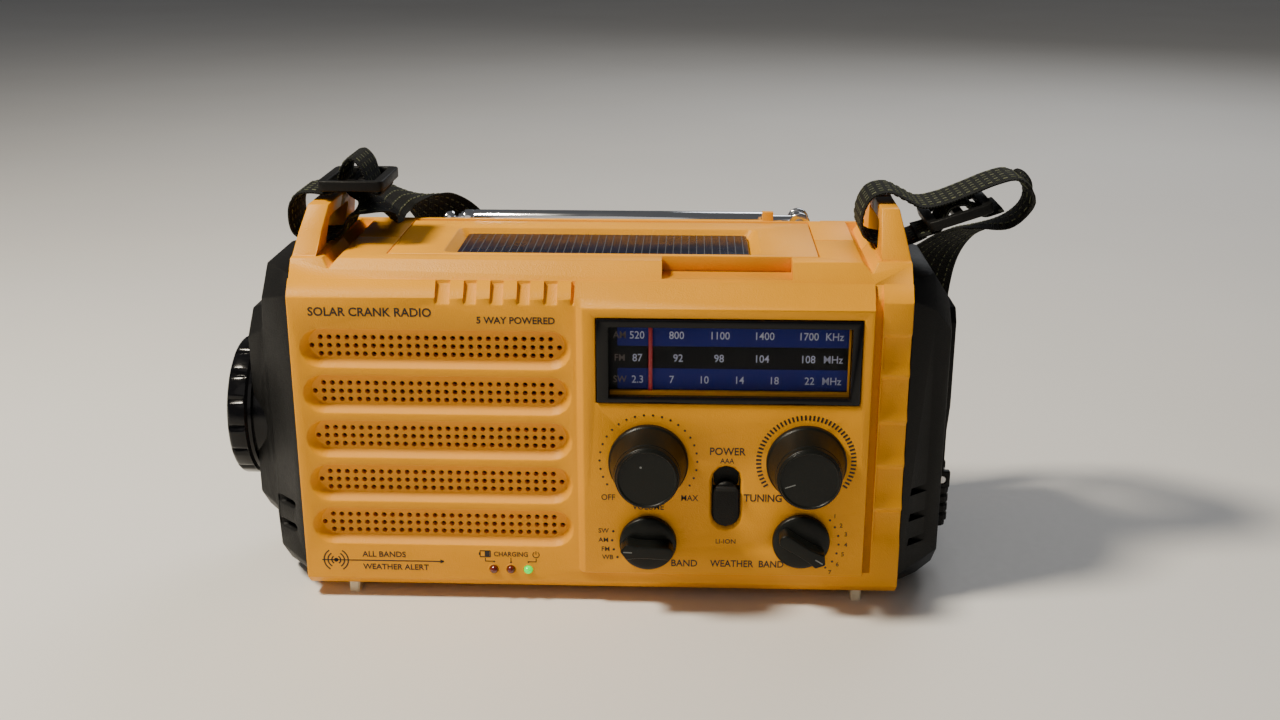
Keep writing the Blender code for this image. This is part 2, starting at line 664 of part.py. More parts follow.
def usb_socket():
    """Charging socket facing the back."""
    shell = prism(stadium(-75.5, -66.5, 32.4, 35.6, 4), 1, 61.0, 69.0)
    mouth = prism(stadium(-75.0, -67.0, 32.9, 35.1, 4), 1, 63.0, 70.0)
    return cut(shell, mouth)


def push_button(z):
    """Round button that stands proud of the back."""
    r = BUTTON_RADIUS
    profile = [(0, 73.4), (r - 1.2, 73.4), (r - 0.4, 72.8), (r - 0.2, 66.0), (0, 66.0)]
    return turned(profile, (BUTTON_X, z), 1, 20)


def case_screw(flat):
    """Countersunk screw that holds the shells together."""
    head = turned([(0, 71.8), (3.0, 71.8), (3.0, 71.3), (1.3, 71.3), (1.3, 60.0), (0, 60.0)], flat, 1, 12)
    slots = unite(box(flat[0] - 1.9, flat[0] + 1.9, 71.45, 73, flat[1] - 0.35, flat[1] + 0.35),
                  box(flat[0] - 0.35, flat[0] + 0.35, 71.45, 73, flat[1] - 1.9, flat[1] + 1.9))
    return cut(head, slots)


# ---------------------------------------------------------------- flashlight

def flashlight_bezel():
    """Ribbed rim with a sleeve that enters the cap."""
    centre = (LIGHT_Y, LIGHT_Z)
    face = BEZEL_FACE
    sleeve = turned([(20.2, -104.0), (20.2, -110.3), (21.6, -110.3), (21.6, -111.5), (BEZEL_RADIUS, -112.3),
                     (BEZEL_RADIUS, face + 1.2), (BEZEL_RADIUS - 1.2, face), (18.6, face), (17.8, face + 0.8),
                     (17.8, -104.0)], centre, 0, 32, True)
    notches = []
    for y, z in circle(centre, BEZEL_RADIUS + 0.3, 16):
        notches.append(rod((y, z), 1.0, 0, face - 1, -113.0, 6))
    return cut(sleeve, together(*notches))


def flashlight_lens():
    """Clear disc inside the rim."""
    return rod((LIGHT_Y, LIGHT_Z), 17.5, 0, -115.8, -114.0, 36)


def flashlight_reflector():
    """Bright cup with the lamp at its bottom."""
    outline = [(0, -97.0), (4.5, -97.0), (17.5, -112.4), (17.5, -113.7), (16.6, -113.7), (4.0, -98.4),
               (2.0, -98.4), (2.0, -100.0), (0, -100.6)]
    return turned(outline, (LIGHT_Y, LIGHT_Z), 0, 28)


# ---------------------------------------------------------------- crank and generator

def gear_outline(centre, teeth, phase):
    """Toothed outline with tapered teeth and generous backlash."""
    pitch = teeth * GEAR_MODULE / 2
    root, tip = pitch - 1.15 * GEAR_MODULE, pitch + 0.75 * GEAR_MODULE
    points = []
    step = 360 / teeth
    for i in range(teeth):
        for radius, offset in ((root, -0.30), (tip, -0.13), (tip, 0.13), (root, 0.30)):
            angle = math.radians(phase + (i + offset) * step)
            points.append((centre[0] + radius * math.cos(angle), centre[1] + radius * math.sin(angle)))
    return points


def pinion_centre():
    """Axis of the generator, at the tooth pitch from the crank axis, straight up."""
    reach = (GEAR_TEETH + PINION_TEETH) * GEAR_MODULE / 2 + 0.15
    return (CRANK_Y, CRANK_Z + reach)


def drive_gear():
    """Gear in the cap with the shaft that carries the crank arm."""
    wheel = prism(gear_outline((CRANK_Y, CRANK_Z), GEAR_TEETH, 90), 0, 94.0, 97.0)
    shaft = rod((CRANK_Y, CRANK_Z), 4.0, 0, 93.0, 105.9, 20)
    return unite(wheel, shaft)


def generator_pinion():
    """Small gear that drives the generator."""
    phase = 270 + 180 / PINION_TEETH
    return prism(gear_outline(pinion_centre(), PINION_TEETH, phase), 0, 94.2, 96.8)


def generator():
    """Flat generator beside the pinion."""
    return rod(pinion_centre(), 9.5, 0, 97.1, 102.4, 24)


def crank_arm():
    """Arm with a broad paddle above its shaft and a fork at its end."""
    y, z = CRANK_Y, CRANK_Z
    hinge_z = z - CRANK_REACH
    half, top = PADDLE
    outline = [(y + half, z + 1), (y + half, z + top - 4), (y + half - 3, z + top), (y - half + 3, z + top),
               (y - half, z + top - 4), (y - half, z + 1), (y - 5.6, z - 9), (y - 5.6, hinge_z - 2.6),
               (y + 5.6, hinge_z - 2.6), (y + 5.6, z - 9)]
    arm = prism(outline, 0, 106.2, 109.4)
    fork = box(106.2, 111.6, y - 5.6, y + 5.6, hinge_z - 2.6, hinge_z + 3.0)
    gap = box(105, 113, y - 3.5, y + 3.5, hinge_z - 4, hinge_z + 3.3)
    holes = rod((109.1, hinge_z), 1.5, 1, y - 8, y + 8, 12)
    return cut(unite(arm, fork), gap, holes)


def grip_stem():
    """Hinge block with trunnions in the fork and the spindle of the grip."""
    y, hinge_z = CRANK_Y, CRANK_Z - CRANK_REACH
    block = rod((109.1, hinge_z), 2.3, 1, y - 3.2, y + 3.2, 16)
    trunnion = rod((109.1, hinge_z), 1.2, 1, y - 5.2, y + 5.2, 12)
    spindle = rod((109.1, y), 1.3, 2, hinge_z - 2.9 - GRIP_LENGTH, hinge_z, 12)
    return unite(block, trunnion, spindle)


def crank_grip():
    """Ribbed barrel that turns on the spindle."""
    top = CRANK_Z - CRANK_REACH - 2.6 - GAP
    inner, outer = 1.6, GRIP_RADIUS
    profile = [(inner, top), (outer - 0.6, top)]
    for i in range(4):
        z = top - 1.0 - i * (GRIP_LENGTH - 2.0) / 4
        profile += [(outer, z), (outer, z - 1.9), (outer - 0.6, z - 2.3)]
    profile += [(outer - 0.6, top - GRIP_LENGTH + 0.4), (inner, top - GRIP_LENGTH + 0.4)]
    return turned(profile, (109.1, CRANK_Y), 2, 12, True)


# ---------------------------------------------------------------- antenna

def antenna_base():
    """Fork on the rear shelf that holds the antenna's pin."""
    x, y, z = ANTENNA_PIVOT_X, ANTENNA_Y, ANTENNA_Z
    block = box(57.0, 69.0, 63.1, 71.9, SHELF_Z - 1.0 + GAP, SHELF_Z + 0.4)
    cheeks = [prism([(57.5, SHELF_Z), (68.5, SHELF_Z)] + arc((x, z), 3.6, 0, 180, 8), 1, y0, y1)
              for y0, y1 in ((63.1, 64.9), (70.1, 71.9))]
    hole = rod((x, z), 1.3, 1, 60, 75, 12)
    return cut(unite(block, *cheeks), hole)


def antenna_pin():
    """Pin across the fork."""
    return rod((ANTENNA_PIVOT_X, ANTENNA_Z), 1.0, 1, 63.1, 71.9, 12)


def antenna_tube_1():
    """Outer tube with the knuckle on the pin."""
    knuckle = rod((ANTENNA_PIVOT_X, ANTENNA_Z), 3.0, 1, ANTENNA_Y - 2.3, ANTENNA_Y + 2.3, 16)
    neck = rod((ANTENNA_Y, ANTENNA_Z), 1.9, 0, 50, ANTENNA_PIVOT_X, 12)
    tube = rod((ANTENNA_Y, ANTENNA_Z), 3.0, 0, ANTENNA_TIP_X + 3, 53.0, 16)
    bore = rod((ANTENNA_Y, ANTENNA_Z), 2.6, 0, ANTENNA_TIP_X, 51.0, 16)
    hole = rod((ANTENNA_PIVOT_X, ANTENNA_Z), 1.3, 1, 60, 75, 12)
    return cut(unite(knuckle, neck, tube), bore, hole)


def antenna_section(outer, inner, tip, root):
    """A middle tube, open at its tip."""
    tube = rod((ANTENNA_Y, ANTENNA_Z), outer, 0, tip, root, 12)
    return cut(tube, rod((ANTENNA_Y, ANTENNA_Z), inner, 0, tip - 1, root - 1.5, 12))


def antenna_rod():
    """Thin rod with the button at the antenna's end."""
    x = ANTENNA_TIP_X
    return turned([(0, x - 4.0), (1.6, x - 4.0), (2.6, x - 3.2), (2.6, x - 1.2), (2.0, x - 0.2), (0.8, x - 0.2),
                   (0.8, 46.0), (0, 46.0)], (ANTENNA_Y, ANTENNA_Z), 0, 12)


# ---------------------------------------------------------------- strap and feet

def strap_stations():
    """Points on the strap's middle line, each with the direction across the band."""
    y = STRAP_Y
    left = [(-67.5, 123.7), (-70.6, 124.8), (-71.9, 128.0), (-73.2, 132.0), (-76.0, 134.6), (-78.8, 132.2),
            (-80.0, 128.6), (-80.9, 125.2), (-84.2, 123.8), (-88.4, 124.2), (-92.8, 123.7), (-95.6, 120.3),
            (-96.0, 115.0), (-94.6, 111.2), (-90.8, 109.6), (-86.5, 109.5), (-82.6, 110.0), (-79.6, 112.6),
            (-77.6, 116.2)]
    middle = [((-73.4, 36.0, 118.8), (-0.3, 0.9, 0.3)), ((-72.3, 43.5, 118.0), (-0.72, 0.3, 0.6)),
              ((-73.6, 50.0, 117.2), (-0.79, 0, 0.61)), ((-73.9, 58.0, 117.2), (-0.79, 0, 0.62)),
              ((-72.5, 66.0, 116.8), (-0.88, 0.1, 0.45)), ((-67.0, 74.0, 113.5), (-0.93, 0.3, 0.1)),
              ((-59.5, 79.5, 107.0), (-0.82, 0.25, -0.4)), ((-50.5, 81.0, 97.0), (-0.82, 0, -0.57)),
              ((-43.5, 80.5, 80.0), (-0.96, 0, -0.28)), ((-40.5, 79.5, 58.0), (-1, 0, 0)),
              ((-39.5, 79.5, 36.0), (-1, 0, 0)), ((-37.0, 81.5, 19.0), (-0.95, 0.2, 0)),
              ((-31.0, 86.5, 8.5), (-0.65, 0.75, 0.1)), ((-20.0, 90.0, 3.4), (-0.15, 1, 0)),
              ((-4.0, 91.0, 1.0), (0, 1, 0)), ((20.0, 91.0, 0.9), (0, 1, 0)), ((44.0, 91.0, 0.9), (0, 1, 0)),
              ((68.0, 91.0, 1.1), (0, 1, 0)), ((84.0, 90.0, 2.8), (-0.15, 1, 0)),
              ((94.0, 88.5, 8.5), (-0.5, 0.8, 0.1)), ((101.5, 87.5, 19.0), (-0.9, 0.3, 0.1)),
              ((105.5, 87.5, 34.0), (-1, 0, 0.1)), ((106.5, 87.5, 56.0), (-1, 0, 0)),
              ((107.0, 86.0, 76.0), (-1, 0, 0)), ((108.5, 80.0, 91.0), (-0.98, -0.15, 0)),
              ((113.0, 70.0, 101.0), (-0.88, -0.45, 0)), ((119.5, 60.0, 107.5), (-0.87, -0.47, 0)),
              ((125.0, 48.5, 113.0), (-0.8, -0.6, -0.2)), ((128.4, 38.5, 119.5), (-0.3, -0.9, -0.3))]
    right = [(128.2, 126.0), (124.0, 129.6), (118.0, 128.4), (110.5, 125.2), (103.0, 122.2), (96.5, 121.0),
             (91.5, 123.2), (86.5, 125.4), (81.6, 124.2), (79.0, 120.2), (78.4, 115.2), (80.2, 111.2),
             (84.5, 109.6), (89.5, 109.5), (94.0, 110.3), (98.0, 112.2)]
    return ([((x, y, z), (0, 1, 0)) for x, z in left] + middle
            + [((x, y, z), (0, -1, 0)) for x, z in right])


def strap():
    """The carrying strap, sewn round both ears."""
    return ribbon(strap_stations(), STRAP_WIDTH, STRAP_THICK, 2)


def strap_slider(bars, low, high, tilt_about, tilt):
    """Flat frame with three bars that grips the webbing."""
    x0, x1 = bars[0][0], bars[-1][1]
    frame = prism(round_box(x0, x1, STRAP_Y - 13, STRAP_Y + 13, 2, 2), 2, low, high)
    windows = [box(first[1], second[0], STRAP_Y - 10.6, STRAP_Y + 10.6, low - 1, high + 1)
               for first, second in zip(bars, bars[1:])]
    slider = cut(frame, together(*windows))
    matrix = (Matrix.Translation(tilt_about) @ Matrix.Rotation(math.radians(tilt), 4, "Y")
              @ Matrix.Translation(-Vector(tilt_about)))
    bmesh.ops.transform(slider, matrix=matrix, verts=slider.verts)
    return slider


def front_foot(x):
    """Narrow pale peg under the front edge."""
    return prism(octagon(x - 1.6, x + 1.6, 4.0, 12.0, 0.5), 2, 0, CASE_UNDER - GAP)


def rear_foot():
    """Rubber bar under the rear edge."""
    return prism(round_box(-60, 60, 60, 68, 2, 3), 2, 0, CASE_UNDER - GAP)


# ---------------------------------------------------------------- assembly

def build_case():
    """Shells, caps, lid and what is fixed to them."""
    body = case_solid()
    place("front_shell", front_shell(body.copy()), "yellow")
    place("rear_shell", rear_shell(body), "yellow")
    place("left_end_cap", left_end_cap(), "black")
    place("right_end_cap", right_end_cap(), "black")
    hinge = (0, LID_AXIS_Y, LID_AXIS_Z)
    place("solar_lid", solar_lid(), "yellow", hinge)
    place("solar_panel", solar_panel(), "cell", hinge)
    place("lid_hinge_pin", rod(hinge[1:], 1.0, 0, LID[0] - 2.6, LID[1] + 2.6, 12), "steel")
    place("reading_lamp", reading_lamp(), "white")
    for name, x in FOOT_PLACES.items():
        place(name, front_foot(x), "cream")
    place("rear_foot", rear_foot(), "rubber")
    for i, flat in enumerate(SCREW_PLACES):
        place(f"case_screw_{i + 1}", case_screw(flat), "steel")


def build_controls():
    """Dial, knobs, switches and lamps on the front."""
    place("dial_bezel", dial_bezel(), "gloss")
    place("dial_window", dial_window(), "clear")
    place("dial_scale", dial_scale(), "dial")
    place("dial_pointer", dial_pointer(), "red", (POINTER_X, 2.2, 80))
    place("volume_knob", round_knob(VOLUME), "knob", (VOLUME[0], 0, VOLUME[1]))
    place("volume_control", control_box(VOLUME, 8.0, 9.0), "steel")
    place("tuning_knob", round_knob(TUNING), "knob", (TUNING[0], 0, TUNING[1]))
    place("tuning_drum", tuning_drum(), "nylon", (TUNING[0], 0, TUNING[1]))
    place("tuning_capacitor", tuning_capacitor(), "clear")
    place("band_knob", selector_knob(BAND, 178), "knob", (BAND[0], 0, BAND[1]))
    place("band_switch", control_box(BAND, 7.0, 8.0), "steel")
    place("weather_knob", selector_knob(WEATHER, -32), "knob", (WEATHER[0], 0, WEATHER[1]))
    place("weather_switch", control_box(WEATHER, 7.0, 8.0), "steel")
    place("power_slider", power_slider(), "black", (38.2, 0, 32.8))
    place("power_switch", box(32.8, 43.6, 6.3, 10.0, 29, 46), "steel")
    for name, x in LED_PLACES.items():
        place(name, led(x), "lens_green" if name == "power_led" else "lens_red")


def build_inside():
    """Loudspeaker, board and battery."""
    place("speaker_frame", speaker_frame(), "steel")
    place("speaker_cone", speaker_cone(), "paper")
    place("main_board", main_board(), "board")
    place("battery_pack", battery_pack(), "battery")
    place("usb_socket", usb_socket(), "steel")


def build_rear():
    """Door, flap and buttons on the back."""
    left, right, low, high = BATTERY_DOOR
    place("battery_door", battery_door(), "yellow", ((left + right) / 2, 71.2, (low + high) / 2))
    place("port_cover", port_cover(), "rubber", (PORT[0], CASE_BACK, PORT[2]))
    for name, z in BUTTON_PLACES.items():
        colour = "black" if name == "light_button" else "red"
        place(name, push_button(z), colour, (BUTTON_X, 72, z))


def build_ends():
    """Flashlight on the left end and crank on the right end."""
    place("flashlight_bezel", flashlight_bezel(), "gloss")
    place("flashlight_lens", flashlight_lens(), "clear")
    place("flashlight_reflector", flashlight_reflector(), "chrome")
    crank = (106, CRANK_Y, CRANK_Z)
    place("drive_gear", drive_gear(), "nylon", crank)
    place("crank_arm", crank_arm(), "black", crank)
    hinge = (109.1, CRANK_Y, CRANK_Z - CRANK_REACH)
    place("grip_stem", grip_stem(), "steel", hinge)
    place("crank_grip", crank_grip(), "black", hinge)
    place("generator", generator(), "steel")
    place("generator_pinion", generator_pinion(), "nylon", (95.5, *pinion_centre()))


def build_antenna():
    """Telescopic antenna along the rear edge."""
    pivot = (ANTENNA_PIVOT_X, ANTENNA_Y, ANTENNA_Z)
    tip = ANTENNA_TIP_X
    place("antenna_base", antenna_base(), "chrome")
    place("antenna_pin", antenna_pin(), "steel")
    place("antenna_tube_1", antenna_tube_1(), "chrome", pivot)
    place("antenna_tube_2", antenna_section(2.3, 1.9, tip + 2, 50.0), "chrome", pivot)
    place("antenna_tube_3", antenna_section(1.6, 1.2, tip + 1, 48.0), "chrome", pivot)
    place("antenna_rod", antenna_rod(), "chrome", pivot)


def build_strap():
    """Strap and its two sliders."""
    place("strap", strap(), "webbing")
    left_bars = [(-86.0, -83.0), (-77.4, -74.6), (-69.0, -66.0)]
    place("strap_slider_left", strap_slider(left_bars, 125.2, 128.4, (-76, STRAP_Y, 126.8), 0), "black")
    right_bars = [(97.5, 100.5), (106.0, 108.8), (114.5, 117.5)]
    place("strap_slider_right", strap_slider(right_bars, 117.2, 120.2, (107.5, STRAP_Y, 118.7), -19), "black")


def main():
    """Empties the scene and builds every piece."""
    for item in list(bpy.data.objects):
        bpy.data.objects.remove(item)
    build_case()
    build_controls()
    build_inside()
    build_rear()
    build_ends()
    build_antenna()
    build_strap()


main()
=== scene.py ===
"""Look of the emergency radio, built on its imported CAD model.

Drawing positions are millimetres from the datum on the front face: X to the right, Y to the
back and Z up from the table. at() turns them into the frame's metres.
"""

import json
import math

import bmesh
import bpy
from mathutils import Matrix, Vector


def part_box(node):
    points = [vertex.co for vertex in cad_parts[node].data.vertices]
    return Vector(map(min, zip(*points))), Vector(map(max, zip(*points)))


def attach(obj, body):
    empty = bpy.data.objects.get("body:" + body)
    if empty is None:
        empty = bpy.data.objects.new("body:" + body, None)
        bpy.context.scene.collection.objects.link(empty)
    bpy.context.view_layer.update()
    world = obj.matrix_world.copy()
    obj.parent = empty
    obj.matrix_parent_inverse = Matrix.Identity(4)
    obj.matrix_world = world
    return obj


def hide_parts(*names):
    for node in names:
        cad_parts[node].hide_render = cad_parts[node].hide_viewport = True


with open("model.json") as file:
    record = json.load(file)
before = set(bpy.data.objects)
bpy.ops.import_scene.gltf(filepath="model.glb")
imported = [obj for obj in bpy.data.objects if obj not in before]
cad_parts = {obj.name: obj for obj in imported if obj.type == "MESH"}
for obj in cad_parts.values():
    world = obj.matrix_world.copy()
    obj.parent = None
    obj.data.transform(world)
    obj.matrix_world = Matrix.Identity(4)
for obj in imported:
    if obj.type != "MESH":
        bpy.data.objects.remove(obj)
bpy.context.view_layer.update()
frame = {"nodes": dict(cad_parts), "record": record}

MM = 0.001
CAP_EDGE_X = -92.3                      # inner edge of the left cap
PANEL_Y = -2.0                          # face of the raised panel, in front of the datum
BACK_Y = 72.0                           # rear face of the case
DATUM = Vector((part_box("left_end_cap")[1].x - CAP_EDGE_X * MM,
                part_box("front_shell")[0].y - PANEL_Y * MM, 0))

# Controls on the panel (X, Z)
VOLUME, TUNING = (14.85, 48.6), (62.1, 48.9)
BAND, WEATHER = (14.8, 22.1), (61.35, 23.3)
SWITCH_X, SWITCH_LOW, SWITCH_HIGH = 38.35, 31.45, 42.67     # centres of the slot's round ends
SWITCH_RADIUS = 4.2
KNOB_FACE_Y = -16.1                     # dished face of the two large knobs
SHAFT_END = 5.9                         # depth that the knobs' shafts reach
LAMP_Z = 10.85
DOT_COUNT, TICK_COUNT = 24, 50          # marks round the volume knob and round the tuning knob

# Grille
SLOT_COUNT, SLOT_LOWEST, SLOT_PITCH = 5, 24.7, 14.4
HOLE_PITCH, HOLE_RADIUS = 2.65, 0.78
HOLE_ROWS = ((2.7, -83.3, 27), (0.1, -86.0, 29), (-2.45, -83.3, 27))   # height in slot, first X, count

# Axes of the round parts that do not stand on the panel
ANTENNA_AXIS = (67.5, 107.0)            # Y, Z
ANTENNA_PIVOT = (62.5, 107.0)           # X, Z
LIGHT_AXIS = (36.0, 51.5)               # Y, Z

INK_DEPTH = 0.06                        # thickness of printed marks
FINGER_COUNT = 37                       # fingers of the solar cell


def at(x, y, z):
    """Point of the drawing in the frame's metres."""
    return DATUM + Vector((x, y, z)) * MM


# ---------------------------------------------------------------- node graph tools

class Graph:
    """A material's node graph with short calls to add and join nodes."""

    def __init__(self, name):
        self.material = bpy.data.materials.new(name)
        self.material.use_nodes = True
        self.tree = self.material.node_tree
        self.shader = self.tree.nodes["Principled BSDF"]
        self.place = self.add("ShaderNodeTexCoord").outputs["Object"]

    def add(self, kind, **values):
        node = self.tree.nodes.new(kind)
        for key, value in values.items():
            setattr(node, key, value)
        return node

    def join(self, source, target):
        self.tree.links.new(source, target)

    def set(self, **values):
        """Sets the shader's own sockets; underscores stand for spaces."""
        for key, value in values.items():
            self.shader.inputs[key.replace("_", " ")].default_value = value

    def noise(self, scale, detail=3.0, rough=0.55, stretch=None):
        node = self.add("ShaderNodeTexNoise")
        node.inputs["Scale"].default_value = scale
        node.inputs["Detail"].default_value = detail
        node.inputs["Roughness"].default_value = rough
        source = self.place
        if stretch:
            mapping = self.add("ShaderNodeMapping")
            mapping.inputs["Scale"].default_value = stretch
            self.join(self.place, mapping.inputs["Vector"])
            source = mapping.outputs["Vector"]
        self.join(source, node.inputs["Vector"])
        return node.outputs["Fac"]

    def cells(self, scale, feature="F1"):
        node = self.add("ShaderNodeTexVoronoi", feature=feature)
        node.inputs["Scale"].default_value = scale
        self.join(self.place, node.inputs["Vector"])
        return node.outputs["Distance"]

    def spread(self, source, low, high, out_low, out_high):
        """Maps a range of one value to another range."""
        node = self.add("ShaderNodeMapRange")
        values = {"From Min": low, "From Max": high, "To Min": out_low, "To Max": out_high}
        for socket, value in values.items():
            node.inputs[socket].default_value = value
        self.join(source, node.inputs["Value"])
        return node.outputs["Result"]

    def mix(self, factor, first, second):
        """Colour between two colours; each may be a colour or a socket."""
        node = self.add("ShaderNodeMix", data_type="RGBA")
        self.join(factor, node.inputs["Factor"])
        for socket, value in zip((node.inputs[6], node.inputs[7]), (first, second)):
            if isinstance(value, (tuple, list)):
                socket.default_value = (*value, 1)
            else:
                self.join(value, socket)
        return node.outputs[2]

    def sum(self, first, second, weight=1.0):
        node = self.add("ShaderNodeMath", operation="MULTIPLY_ADD")
        self.join(second, node.inputs[0])
        node.inputs[1].default_value = weight
        self.join(first, node.inputs[2])
        return node.outputs[0]

    def relief(self, height, distance, strength=1.0):
        bump = self.add("ShaderNodeBump")
        bump.inputs["Strength"].default_value = strength
        bump.inputs["Distance"].default_value = distance
        self.join(height, bump.inputs["Height"])
        self.join(bump.outputs["Normal"], self.shader.inputs["Normal"])

    def colour(self, source):
        self.join(source, self.shader.inputs["Base Color"])

    def roughness(self, source):
        self.join(source, self.shader.inputs["Roughness"])


def moulded(name, base, variation, rough, grain, depth, coat=0.0, specular=0.5):
    """Injection-moulded plastic: fine grain, faint mottling, small wear and handling gloss."""
    g = Graph(name)
    mottle = g.noise(38, 4)
    dust = g.noise(900, 2)
    dark = tuple(c * (1 - variation) for c in base)
    light = tuple(min(1, c * (1 + variation * 0.6)) for c in base)
    tone = g.mix(g.spread(mottle, 0.3, 0.7, 0, 1), dark, light)
    g.colour(g.mix(g.spread(dust, 0.62, 0.8, 0, 0.10), tone, tuple(min(1, c + 0.04) for c in light)))
    blend = g.sum(g.spread(mottle, 0.3, 0.7, rough[0], rough[1]), g.spread(dust, 0.3, 0.7, -0.03, 0.03))
    g.roughness(blend)
    g.relief(g.sum(g.cells(grain), g.noise(grain * 0.45, 2), 0.7), depth)
    g.set(Specular_IOR_Level=specular, Coat_Weight=coat, Coat_Roughness=0.2)
    return g.material


def metal(name, base, rough, streak, depth):
    """Plated or brushed metal with lengthwise streaks and faint smudges."""
    g = Graph(name)
    streaks = g.noise(1, 3, stretch=streak)
    smudge = g.noise(60, 3)
    g.colour(g.mix(g.spread(smudge, 0.35, 0.7, 0, 1), base, tuple(c * 0.9 for c in base)))
    g.roughness(g.sum(g.spread(smudge, 0.3, 0.75, rough[0], rough[1]),
                      g.spread(streaks, 0.3, 0.7, -0.03, 0.03)))
    g.relief(streaks, depth)
    g.set(Metallic=1.0)
    return g.material


def clear(name, tint, rough, index):
    """Clear moulded acrylic with faint dust and moulding haze; index is its refractive index."""
    g = Graph(name)
    haze = g.noise(120, 4)
    g.colour(g.mix(g.spread(haze, 0.3, 0.8, 0, 1), tint, tuple(c * 0.97 for c in tint)))
    g.roughness(g.spread(haze, 0.35, 0.8, rough, rough + 0.03))
    g.relief(g.noise(30, 2), 0.00001)
    g.set(Transmission_Weight=1.0, IOR=index)
    return g.material


def webbing(name, base, fleck, rough):
    """Woven nylon: herringbone ribs along the band's own directions, with lint."""
    g = Graph(name)
    along = g.add("ShaderNodeUVMap", uv_map="band").outputs["UV"]
    parts = g.add("ShaderNodeSeparateXYZ")
    g.join(along, parts.inputs[0])
    ribs = []
    for socket, count in (("X", 5200.0), ("Y", 7000.0)):
        scaled = g.add("ShaderNodeMath", operation="MULTIPLY")
        g.join(parts.outputs[socket], scaled.inputs[0])
        scaled.inputs[1].default_value = count
        wave = g.add("ShaderNodeMath", operation="SINE")
        g.join(scaled.outputs[0], wave.inputs[0])
        ribs.append(wave.outputs[0])
    product = g.add("ShaderNodeMath", operation="MULTIPLY")
    g.join(ribs[0], product.inputs[0])
    g.join(ribs[1], product.inputs[1])
    lint = g.noise(700, 3)
    g.colour(g.mix(g.spread(g.sum(product.outputs[0], lint, 0.8), -0.4, 1.3, 0, 1), base, fleck))
    g.roughness(g.spread(lint, 0.3, 0.7, rough - 0.08, rough + 0.06))
    g.relief(product.outputs[0], 0.00018, 0.9)
    g.set(Sheen_Weight=0.02, Sheen_Roughness=0.5, Specular_IOR_Level=0.12)
    return g.material


def glow(name, base, clarity, level):
    """Tinted epoxy lamp, with its own light when lit; clarity is how much light it lets through."""
    g = Graph(name)
    swirl = g.noise(500, 2)
    g.colour(g.mix(g.spread(swirl, 0.3, 0.7, 0, 1), base, tuple(c * 0.8 for c in base)))
    g.roughness(g.spread(swirl, 0.3, 0.7, 0.1, 0.2))
    g.relief(swirl, 0.00003)
    g.set(Emission_Color=(*base, 1), Emission_Strength=level, Coat_Weight=0.6, Coat_Roughness=0.05)
    g.set(Transmission_Weight=clarity)
    return g.material


# Moulded: name, base colour, variation, roughness range, grain scale, grain depth in metres
YELLOW = moulded("abs_yellow", (0.82, 0.345, 0.002), 0.05, (0.38, 0.50), 2600, 0.00005, specular=0.25)
CAP_BLACK = moulded("cap_black_plastic", (0.007, 0.007, 0.007), 0.15, (0.42, 0.54), 2400, 0.00006,
                    specular=0.16)
KNOB_BLACK = moulded("knob_black_plastic", (0.007, 0.008, 0.007), 0.15, (0.30, 0.40), 3200, 0.00002,
                     specular=0.20)
GLOSS_BLACK = moulded("gloss_black_plastic", (0.004, 0.004, 0.005), 0.2, (0.10, 0.17), 1500, 0.000008,
                      specular=0.22)
RUBBER = moulded("black_rubber", (0.012, 0.012, 0.012), 0.2, (0.72, 0.86), 1800, 0.00008, specular=0.35)
CREAM = moulded("cream_rubber", (0.80, 0.72, 0.52), 0.06, (0.55, 0.68), 1800, 0.00006)
INK = moulded("label_ink", (0.012, 0.009, 0.008), 0.2, (0.5, 0.6), 3000, 0.00001)
INK_PALE = moulded("dial_ink_pale", (0.50, 0.54, 0.72), 0.05, (0.45, 0.55), 3000, 0.00001)
# Dim brown ink of the band names at the dial's left end: real print, whose dimness is painted shade of that
# end.
INK_DIM = moulded("dial_ink_dim", (0.13, 0.10, 0.09), 0.1, (0.5, 0.6), 3000, 0.00001)
INK_GREY = moulded("ink_grey", (0.17, 0.18, 0.18), 0.08, (0.4, 0.5), 3000, 0.00001)
FINGER_GREY = moulded("cell_finger_grey", (0.075, 0.080, 0.095), 0.1, (0.35, 0.5), 3000, 0.00001,
                      specular=0.3)
INK_BLUE = moulded("dial_ink_blue", (0.012, 0.018, 0.19), 0.1, (0.45, 0.55), 3000, 0.00001, specular=0.15)
CARD_BLACK = moulded("dial_card_black", (0.004, 0.004, 0.005), 0.15, (0.5, 0.6), 2500, 0.00001,
                     specular=0.15)
RED = moulded("needle_red", (0.42, 0.006, 0.014), 0.06, (0.3, 0.4), 2200, 0.00002)
CHROME = metal("antenna_chrome_plate", (0.83, 0.84, 0.86), (0.07, 0.2), (60, 2400, 2400), 0.00001)
STEEL = metal("plain_steel", (0.52, 0.52, 0.54), (0.3, 0.45), (1500, 1500, 300), 0.00002)
CLEAR = clear("clear_acrylic", (0.96, 0.97, 1.0), 0.015, 1.46)
PANE = clear("coated_dial_pane", (0.96, 0.97, 1.0), 0.0, 1.09)
WEBBING = webbing("strap_webbing", (0.004, 0.0045, 0.004), (0.014, 0.015, 0.013), 0.8)
STITCH = webbing("strap_stripe", (0.07, 0.08, 0.045), (0.14, 0.15, 0.09), 0.8)
LAMP_RED = glow("lamp_red_epoxy", (0.16, 0.012, 0.010), 0.2, 0.0)
LAMP_GREEN = glow("lamp_green_epoxy", (0.0, 0.80, 0.035), 0.0, 1.1)
REFLECTOR = metal("reflector_plate", (0.9, 0.9, 0.91), (0.06, 0.12), (400, 400, 400), 0.00001)
BOARD = moulded("board_green_laminate", (0.02, 0.2, 0.07), 0.15, (0.35, 0.5), 1200, 0.00003)
PAPER = moulded("cone_paper_black", (0.03, 0.03, 0.032), 0.2, (0.75, 0.9), 1500, 0.0001)
